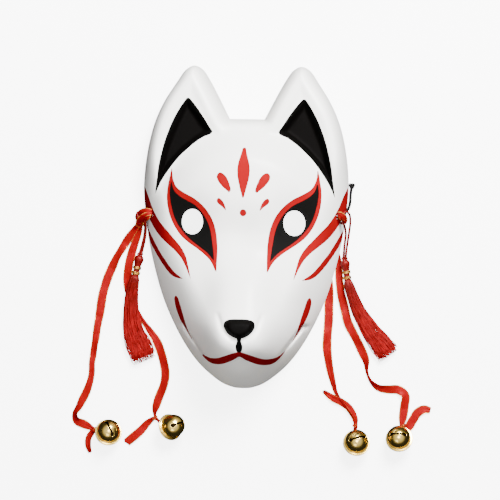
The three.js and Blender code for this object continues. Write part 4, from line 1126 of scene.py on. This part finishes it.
def tassel_threads(side):
    """Loose threads from the neck to the skirt's end, with none along the bundle's middle."""
    t = TASSELS[side]
    neck = np.array(t["bands"][1]) + down_tassel(side)
    rows = [(*neck, 2.2, 2.2), *t["skirt"]]
    beyond = 2 * np.array(rows[-1]) - np.array(rows[-2])
    rows.append(tuple(np.array(rows[-1]) * 0.75 + beyond * 0.25))
    axis, marks = run_along([r[:2] for r in rows], THREAD["step"])
    half, tall = (through([(i, r[column]) for i, r in enumerate(rows)], marks) for column in (2, 3))
    lowered = smoothstep(0, 1, marks)
    level = (TASSEL["gap"] + tall) * lowered + TASSEL_LEVEL * (1 - lowered)
    ahead = unit(np.gradient(axis, axis=0))
    across = np.stack([-ahead[:, 1], ahead[:, 0]], axis=1)
    share = marks / (len(rows) - 2)
    sides = THREAD["sides"]
    turn = whole_turn(sides)
    vertices, faces, uv = [], [], []
    for k in range(THREAD["count"]):
        rho = math.sqrt(rng.uniform(0.12, 1))
        angle = rng.uniform(0, TURN)
        swirl = rng.normal(0, 0.5)
        bundle = (math.floor(angle / BUNDLE) + 0.5) * BUNDLE + 0.25 * math.sin(angle * 7)
        wave, pace = rng.uniform(0, TURN), rng.uniform(2.5, 6)
        stop = rng.uniform(0.94, 1.02) if rng.random() > 0.15 else rng.uniform(0.84, 1.1)
        keep = max(int(np.searchsorted(share, stop)), 8)
        down, wide, high = share[:keep], half[:keep], tall[:keep]
        a = angle + (swirl * 0.4 + (bundle - angle) * THREAD["gather"] * down) * down
        stray = THREAD["stray"] * down ** 2 * np.sin(wave + pace * down * 3)
        out = wide * (rho * np.cos(a) + stray * 0.5)
        up = high * rho * np.sin(a) + 0.2 * np.sin(wave + pace * down * 4) * down
        line = np.column_stack([axis[:keep] + across[:keep] * out[:, None], level[:keep] + up])
        line[:, 2] = np.maximum(line[:, 2], THREAD["lowest"])
        side_way = np.column_stack([across[:keep], np.zeros(keep)])
        thin = np.full(keep, THREAD["radius"])
        thin[-1] *= 0.4
        rings = rings_round(line, side_way, np.array([[0, 0, 1.0]]), thin[:, None], turn)
        faces += tube_faces(keep, sides, sum(len(v) for v in vertices))
        vertices.append(rings.reshape(-1, 3))
        along = np.arange(keep) * THREAD["step"]
        uv.append(np.stack([np.tile(turn / 6 + k * 3.7, keep), np.repeat(along, sides)], axis=1))
    obj = new_object("threads", np.vstack(vertices), faces, [SILK], 80)
    set_uv(obj, np.vstack(uv))
    return obj


def gold_band(side, which):
    """Four close turns of gold thread round the neck."""
    way = np.append(down_tassel(side), 0)
    across = np.array([-way[1], way[0], 0])
    middle = np.array([*TASSELS[side]["bands"][which], TASSEL_LEVEL])
    wire = 0.3
    turn = whole_turn(56)
    circle = across * np.cos(turn)[:, None] + np.array([0, 0, 1.0]) * np.sin(turn)[:, None]
    turns = []
    for place in (-0.84, -0.28, 0.28, 0.84):
        line = middle + way * place + circle * (TASSEL["neck"] + 0.3 + wire)
        turns.append(ring_tube("turn", line, wire, GOLD, 10))
    return joined(f"gold_band_{side}_{which}", turns)


def cord_ends(side):
    way = down_tassel(side)
    out = TASSEL["head"] + 0.3
    top = np.array(TASSELS[side]["head"]) - way * out
    return [(top[0] - way[1] * 0.9 * s, top[1] + way[0] * 0.9 * s, TASSEL_LEVEL) for s in (-1, 1)]


def hook(middle, strand, towards, radius, opening, steps):
    """Most of a circle round a strand, open towards a side."""
    axis = np.array(strand, float) / np.linalg.norm(strand)
    u = np.array(towards, float)
    u -= axis * np.dot(u, axis)
    u /= np.linalg.norm(u)
    v = np.cross(axis, u)
    turns = np.radians(opening + (360 - 2 * opening) * np.arange(steps + 1) / steps)
    return [tuple(np.array(middle) + radius * (u * math.cos(a) + v * math.sin(a))) for a in turns]


LEFT_ENDS = cord_ends("left")
RIGHT_ENDS = cord_ends("right")
TASSEL_CORD_ROUTES = {
    "left": [
        LEFT_ENDS[0], (-83.4, -17, 4.2), (-81.4, -8, 4.6), (-80.7, 0, 7), (-81.4, 4.4, 9.6),
        *hook((-84.4, 8.4, 11.4), (3.6, 3.8, 5.6), (1, -0.5, -0.2), TASSEL_CORD["hook"], 24, 6),
        (-80.4, 3.4, 12), (-79.6, -2, 9.2), (-80.4, -10, 6.6), (-82, -18, 5.4), LEFT_ENDS[1],
    ],
    "right": [
        RIGHT_ENDS[0], (79.9, -14, 6.4), (80.8, -4, 9.4), (79.6, 2.4, 14.2), (78.2, 5.6, 17.8),
        (77.9, 8.6, 18), (78.2, 11.4, 17.9), (80.6, 13.4, 17), (83.4, 11.4, 14), (84.2, 5, 10.4),
        (83.2, -5, 7.6), (81.8, -16, 5.8), RIGHT_ENDS[1],
    ],
}


def add_tassel(side):
    top = np.array(TASSELS[side]["head"]) - down_tassel(side) * (TASSEL["head"] + 0.1)
    loop_end = knot(f"loop_end_{side}", (top[0], top[1], TASSEL_LEVEL), *LOOP_END, SILK)
    body = joined(f"silk_tassel_{side}", [tassel_head(side), loop_end, tassel_threads(side)])
    dress(body, f"tassel_{side}")
    for which, word in enumerate(("upper", "lower")):
        dress(gold_band(side, which), f"tassel_band_{side}_{word}")
    cord, line = rope(f"silk_cord_{side}", TASSEL_CORD_ROUTES[side], TASSEL_CORD["diameter"], SILK_CORD,
                      step=0.35, sides=18, strands=3, pitch=3.2)
    dress(cord, f"tassel_cord_{side}")


add_tassel("left")
add_tassel("right")


# Markings, on the right of the middle line; each is painted on both sides

def smooth(points, step=1.0):
    """A closed outline with its corners kept where a point is given twice."""
    runs, run = [], [points[0]]
    for p in points[1:] + points[:1]:
        if p == run[-1]:
            if len(run) > 1:
                runs.append(run)
            run = [p]
        else:
            run.append(p)
    if len(run) > 1:
        runs.append(run)
    return np.vstack([run_along(r, step)[0][:-1] if len(r) > 2 else np.array(r[:-1], float) for r in runs])


EAR_LOW = (71.6, 23.8)
EAR_BLACK = [
    (47.4, 100.6), (46.2, 101.5), (44.6, 100.9), (42.1, 98.2), (39.2, 94.6), (33.6, 86.6), (28.4, 78.4),
    (26.1, 74.9), (26.8, 73.3), (33.2, 70.3), (39.9, 65.7), (46.1, 60.3), (52, 54.6), (57.2, 48.2),
    (62, 41.6), (66.4, 34.7), EAR_LOW, EAR_LOW, (69.6, 37.5), (68.2, 47.4), (66.2, 57.1), (63.7, 66.7),
    (60.5, 76), (56.6, 85.2), (51.9, 93.8),
]
EYE_HORN, EYE_BOTTOM = (57.6, 47.4), (19.6, -37)
EYE_RED = [
    EYE_HORN, EYE_HORN, (56.3, 36.7), (52.6, 29.9), (46.1, 25.5), (39.1, 21.8), (32.9, 17.1),
    (27.6, 11.2), (23.6, 4.4), (21.1, -3.1), (19.8, -10.9), (19.3, -18.7), (19.3, -26.7), EYE_BOTTOM,
    EYE_BOTTOM, (24.2, -28), (29.8, -22.3), (36.2, -17.6), (42.8, -13.2), (48.9, -8), (53.7, -1.7),
    (57.3, 5.4), (59.7, 13), (60.9, 20.9), (60.8, 28.9), (59.6, 36.7),
]
PUPIL_HORN, PUPIL_BOTTOM = (57.8, 35.6), (21.7, -27.6)
EYE_BLACK_SHAPE = [
    PUPIL_HORN, PUPIL_HORN, (55.3, 27.9), (50.5, 23.2), (44.7, 19.9), (38.8, 16.7), (33.7, 12.2),
    (29.7, 6.8), (26.7, 0.8), (24.8, -5.7), (23.7, -12.3), (22.7, -19), PUPIL_BOTTOM, PUPIL_BOTTOM,
    (27.1, -21.4), (32.5, -17.3), (38, -13.4), (43.3, -9.1), (47.9, -4.1), (51.9, 1.4), (54.8, 7.5),
    (56.7, 14), (58.1, 20.7), (58.7, 27.4),
]
FLAME_TOP, FLAME_FOOT = (0.6, 62.6), (0.2, 22)
FLAME = [
    FLAME_TOP, FLAME_TOP, (2.2, 55.6), (3.9, 49.4), (4.6, 43.7), (4.1, 37.6), (2.7, 31.5), (1.3, 26.2),
    FLAME_FOOT, FLAME_FOOT, (-1.2, 27), (-2.8, 32.5), (-4.2, 38.1), (-4.4, 43.7), (-3.4, 49.3),
    (-1.4, 55.6),
]
UPPER_PETAL_TIP = (8.4, 24)
UPPER_PETAL = [
    UPPER_PETAL_TIP, UPPER_PETAL_TIP, (10.1, 29.9), (11.3, 33.5), (12.9, 36.9), (15.2, 39.9),
    (18.5, 41.4), (20.6, 38.9), (19.7, 35.6), (17.6, 32.7), (15.2, 30.1), (12.5, 27.9),
]
LOWER_PETAL_TIP = (13.3, 12.4)
LOWER_PETAL = [
    LOWER_PETAL_TIP, LOWER_PETAL_TIP, (14.5, 16.6), (15.6, 18.5), (17, 20.3), (18.9, 21.5), (20.4, 20.2),
    (19.6, 18.2), (18, 16.6), (16.1, 15.4),
]
DOT = {"x": 0.2, "y": 10.5, "radius": 2.75}
LONG_TIP, LONG_TOP, LONG_FOOT = (39.6, -43.4), (84.5, 37.5), (84.5, 20)
LONG_STRIPE = [
    LONG_TIP, LONG_TIP, (42.4, -30.8), (44.9, -23), (49.3, -16), (54.9, -10), (60.5, -3.9), (66.1, 2.1),
    (70.8, 8.9), (74.7, 16.2), (77.7, 23.8), (81.2, 31.3), LONG_TOP, LONG_TOP, LONG_FOOT, LONG_FOOT,
    (80, 12.5), (75.8, 4), (71.5, -2.8), (66.4, -8.9), (60.4, -14.2), (54.2, -19.3), (48.6, -25.1),
    (44.5, -32),
]
SHORT_TIP, SHORT_TOP, SHORT_FOOT = (45.6, -42.2), (81.5, 4.5), (81, -2.5)
SHORT_STRIPE = [
    SHORT_TIP, SHORT_TIP, (53.7, -36.8), (58.5, -31.8), (62.8, -26.4), (67, -20.9), (70.7, -15.1),
    (74.2, -9.2), (77.7, -3), SHORT_TOP, SHORT_TOP, SHORT_FOOT, SHORT_FOOT, (78.3, -8.3), (75.9, -13.9),
    (72.4, -19.6), (68.6, -25.3), (64.5, -30.8), (60.1, -36), (54.8, -40.2),
]
WHISKER_TIP = (39, -92)
WHISKER = [
    WHISKER_TIP, WHISKER_TIP, (42.5, -83.9), (44.5, -78.1), (46.3, -72.1), (48.1, -66.2), (49.9, -60.4),
    (51.3, -56.6), (53.1, -55.3), (54.3, -57), (54.3, -60.2), (53.2, -65.6), (51.3, -70.8), (49, -75.8),
    (46.4, -80.7), (43.5, -85.3),
]
LIP_END, LIP_MIDDLE, LIP_UNDER = (36, -95.4), (0, -96.2), (0, -100.4)
LIP = [
    LIP_END, LIP_END, (30.2, -100.9), (26.3, -102.5), (22, -103), (17.5, -102.3), (13.2, -100.7),
    (8.9, -98.9), (4.5, -97.3), LIP_MIDDLE, (-4, -97.3), (-4, -103.1), LIP_UNDER, (4.4, -103.1),
    (8.9, -105.4), (13.6, -107.4), (18.5, -108.4), (23.5, -108.1), (27.6, -105.8), (31.4, -101.9),
]
NOSE_BLACK = [
    (0, -71), (3.7, -71), (7.9, -71.5), (11.3, -73.3), (11.9, -77), (10.1, -80.6), (7.2, -83.4),
    (3.8, -85.2), (0, -86.2), (-3, -85), (-3, -71),
]
PHILTRUM = [
    (2.1, -84), (1.7, -86), (1.6, -88.1), (2.5, -91.2), (2.6, -93.2), (1.9, -95.8), (0, -96.9),
    (-1, -95.6), (-1, -84),
]
LIP_LEFT_END = (31, -103.6)
RED_SHAPES = [EYE_RED, LONG_STRIPE, SHORT_STRIPE, WHISKER]
SMALL_RED_SHAPES = [UPPER_PETAL, LOWER_PETAL, FLAME]
SMALL_SHAPE_GROWS = 0.35
BLACK_SHAPES = [EAR_BLACK, EYE_BLACK_SHAPE, NOSE_BLACK, PHILTRUM]


# How far below the outside the paint still reaches, as over a hole's rounded edge
PAINT_REACH = 1.3


def paint_depths(x, y, z):
    """How deep each place lies in the red and in the black markings, and whether it lies in an eye's."""
    side = np.abs(x)
    red = DOT["radius"] - np.hypot(x - DOT["x"], y - DOT["y"])
    for shape in RED_SHAPES:
        red = np.maximum(red, depth_in(smooth(shape), side, y))
    for shape in SMALL_RED_SHAPES:
        red = np.maximum(red, depth_in(smooth(shape), side, y) + SMALL_SHAPE_GROWS)
    lip = depth_in(smooth(LIP), side, y)
    past_left_end = np.hypot(x + LIP_LEFT_END[0], y - LIP_LEFT_END[1]) * np.sign(-x - LIP_LEFT_END[0])
    red = np.maximum(red, np.minimum(lip, np.where(x < 0, 1.8 - past_left_end, 9)))
    black = np.full(len(x), -50.0)
    for shape in BLACK_SHAPES:
        black = np.maximum(black, depth_in(smooth(shape), side, y))
    eye = (depth_in(smooth(EYE_RED), side, y) > 0).astype(float)
    by_side_hole = np.hypot(y - SIDE_HOLE["y"], z - SIDE_HOLE["z"]) < SIDE_HOLE["radius"] + 0.3
    in_wall = (z < front(x, y) - PAINT_REACH) & ~by_side_hole
    red = np.where(by_side_hole, 1.0, red)
    return np.where(in_wall, -1.0, red), np.where(in_wall, -1.0, black), eye


# The mask

# Rows of the mesh leave the outline square to it for this far, and edges sharper than this stay crisp
SQUARE_FOR = 13
SHARP_FROM = 42
# The rounded edge of an eye hole: how far out from the hole, and how far above the surface
EYE_FLARE = [(1.1, 1.5), (1.1, 0.12), (0.7, -0.04), (0.38, -0.2), (0.15, -0.46), (0.03, -0.8), (0, -1.2)]


def outline_ring(step):
    """The whole outline, anticlockwise."""
    across = np.arange(0, TOP_EDGE[0], step)
    top = np.column_stack([across, np.full(len(across), TOP_EDGE[1])])
    right = np.vstack([top, run_along(OUTLINE, step, True)[0]])
    left = right[1:-1][::-1] * [-1, 1]
    return np.vstack([right, left])[::-1]


def inwards_from(ring):
    """The way square to a closed ring at each of its points."""
    along = unit(np.roll(ring, -1, axis=0) - np.roll(ring, 1, axis=0))
    return np.column_stack([-along[:, 1], along[:, 0]])


def rows_to_middle(points, shares, height):
    """Rows of points from the outline to the middle."""
    turn = points + inwards_from(points) * SQUARE_FOR
    rows = []
    for share in shares:
        p = (1 - share) ** 2 * points + 2 * share * (1 - share) * turn + share ** 2 * MIDDLE
        z = rim_height(np.abs(p[:, 0]), p[:, 1]) if share == 0 else height(p[:, 0], p[:, 1])
        rows.append(np.column_stack([p, z]))
    return rows


def mask_mesh():
    """The shell as rings from the inside's middle over the rim to the outside's middle."""
    rim = outline_ring(1.5)
    inside_rim = rim + inwards_from(rim) * WALL
    inner = rows_to_middle(inside_rim, np.linspace(0, 1, 46)[:-1], back)[::-1]
    outer = rows_to_middle(rim, np.linspace(0, 1, 112)[:-1] ** 1.12, front)
    rows = inner + outer
    sides = len(rim)
    middle = MIDDLE[None, :]
    ends = [[*MIDDLE, height(middle[:, 0], middle[:, 1])[0]] for height in (back, front)]
    vertices = np.vstack(rows + ends)
    count = len(vertices)
    last = (len(rows) - 1) * sides
    faces = ring_faces(len(rows), sides)
    faces += [(count - 2, (s + 1) % sides, s) for s in range(sides)]
    faces += [(count - 1, last + s, last + (s + 1) % sides) for s in range(sides)]
    obj = new_object("painted_mask", vertices, faces, [SHELL, SHELL_PLAIN], SHARP_FROM)
    unpainted = len(inner) * sides
    index = np.zeros(len(faces), np.int32)
    index[:unpainted] = 1
    index[-2 * sides:-sides] = 1
    obj.data.polygons.foreach_set("material_index", index)
    return obj


def eye_cutter(side):
    """A cutter whose mouth flares over the surface, so that the hole's edge is rounded."""
    turn = whole_turn(96)
    rings = []
    for out, down in EYE_FLARE:
        x = EYE_HOLE["x"] + (EYE_HOLE["half_width"] + out) * np.cos(turn)
        y = EYE_HOLE["y"] + (EYE_HOLE["half_height"] + out) * np.sin(turn)
        z = front(x, y) + down
        rings.append(np.column_stack([side * x, y, z]))
    low = rings[-1].copy()
    low[:, 2] = 5
    rings.append(low)
    faces = tube_faces(len(rings), len(turn))
    cutter = new_object("eye", np.vstack(rings[::-1]), faces, [SHELL, SHELL_PLAIN])
    merge_close(cutter, 0)
    return cutter


def side_cutter(side):
    """A round bar through one side wall."""
    sides, reach = 40, 9
    turn = whole_turn(sides)
    y = SIDE_HOLE["y"] + SIDE_HOLE["radius"] * np.cos(turn)
    z = SIDE_HOLE["z"] + SIDE_HOLE["radius"] * np.sin(turn)
    places = [side * (SIDE_HOLE["x"] + out) for out in (-reach, reach)]
    rings = [np.column_stack([np.full(sides, x), y, z]) for x in places]
    cutter = new_object("hole", np.vstack(rings), tube_faces(2, sides), [SHELL, SHELL_PLAIN])
    merge_close(cutter, 0)
    return cutter


def add_mask():
    obj = mask_mesh()
    for side in (-1, 1):
        cut(obj, eye_cutter(side))
        cut(obj, side_cutter(side))
    mesh = obj.data
    mesh.shade_smooth()
    mesh.set_sharp_from_angle(angle=math.radians(SHARP_FROM))
    points = np.empty(len(mesh.vertices) * 3)
    mesh.vertices.foreach_get("co", points)
    points = points.reshape(-1, 3) / MM
    red, black, eye = paint_depths(points[:, 0], points[:, 1], points[:, 2])
    for name, values in (("red_depth", red), ("black_depth", black), ("eye_share", eye)):
        attribute = mesh.attributes.new(name, "FLOAT", "POINT")
        attribute.data.foreach_set("value", np.asarray(values, np.float32))
    dress(obj, "mask_shell")


add_mask()


# The table and the light

def add_table():
    corners = [(x * TABLE["reach"], y * TABLE["reach"], 0) for x, y in ((-1, -1), (1, -1), (1, 1), (-1, 1))]
    floor = new_object("table", corners, [(0, 1, 2, 3)], [floor_paper()])
    floor.location.z = -TABLE["drop"] * MM
    floor.visible_diffuse = False
    floor.visible_glossy = False


def add_light(name, place, aim, size, power):
    data = bpy.data.lights.new(name, "AREA")
    data.shape = "RECTANGLE"
    data.size, data.size_y = size
    data.energy = power
    light = bpy.data.objects.new(name, data)
    bpy.context.scene.collection.objects.link(light)
    light.location = place
    light.rotation_euler = (Vector(aim) - Vector(place)).to_track_quat("-Z", "Y").to_euler()


def add_world():
    """Even studio light from above that falls off towards the horizon."""
    world = bpy.data.worlds.new("studio")
    world.use_nodes = True
    nodes, links = world.node_tree.nodes, world.node_tree.links
    background = nodes["Background"]
    place = nodes.new("ShaderNodeTexCoord")
    split = nodes.new("ShaderNodeSeparateXYZ")
    ramp = nodes.new("ShaderNodeMapRange")
    for index, name in ((1, "from"), (2, "to"), (3, "low"), (4, "high")):
        ramp.inputs[index].default_value = SKY[name]
    links.new(place.outputs["Generated"], split.inputs[0])
    links.new(split.outputs[2], ramp.inputs[0])
    links.new(ramp.outputs[0], background.inputs[0])
    background.inputs[1].default_value = SKY["strength"]
    bpy.context.scene.world = world


# Each light's place, what it faces and its size, in metres, and its power in watts
LIGHTS = {
    "key": ((0.4, 0.9, 1.1), (0, 0, 0), (0.6, 0.5), 116),
    "fill": ((0.1, -0.05, 1.5), (0, 0, 0), (0.5, 0.5), 12),
    "low_fill": ((-0.25, -0.95, 0.95), (0, -0.04, 0), (0.5, 0.4), 2.5),
}

add_table()
add_world()
for light_name, light_setting in LIGHTS.items():
    add_light(light_name, *light_setting)
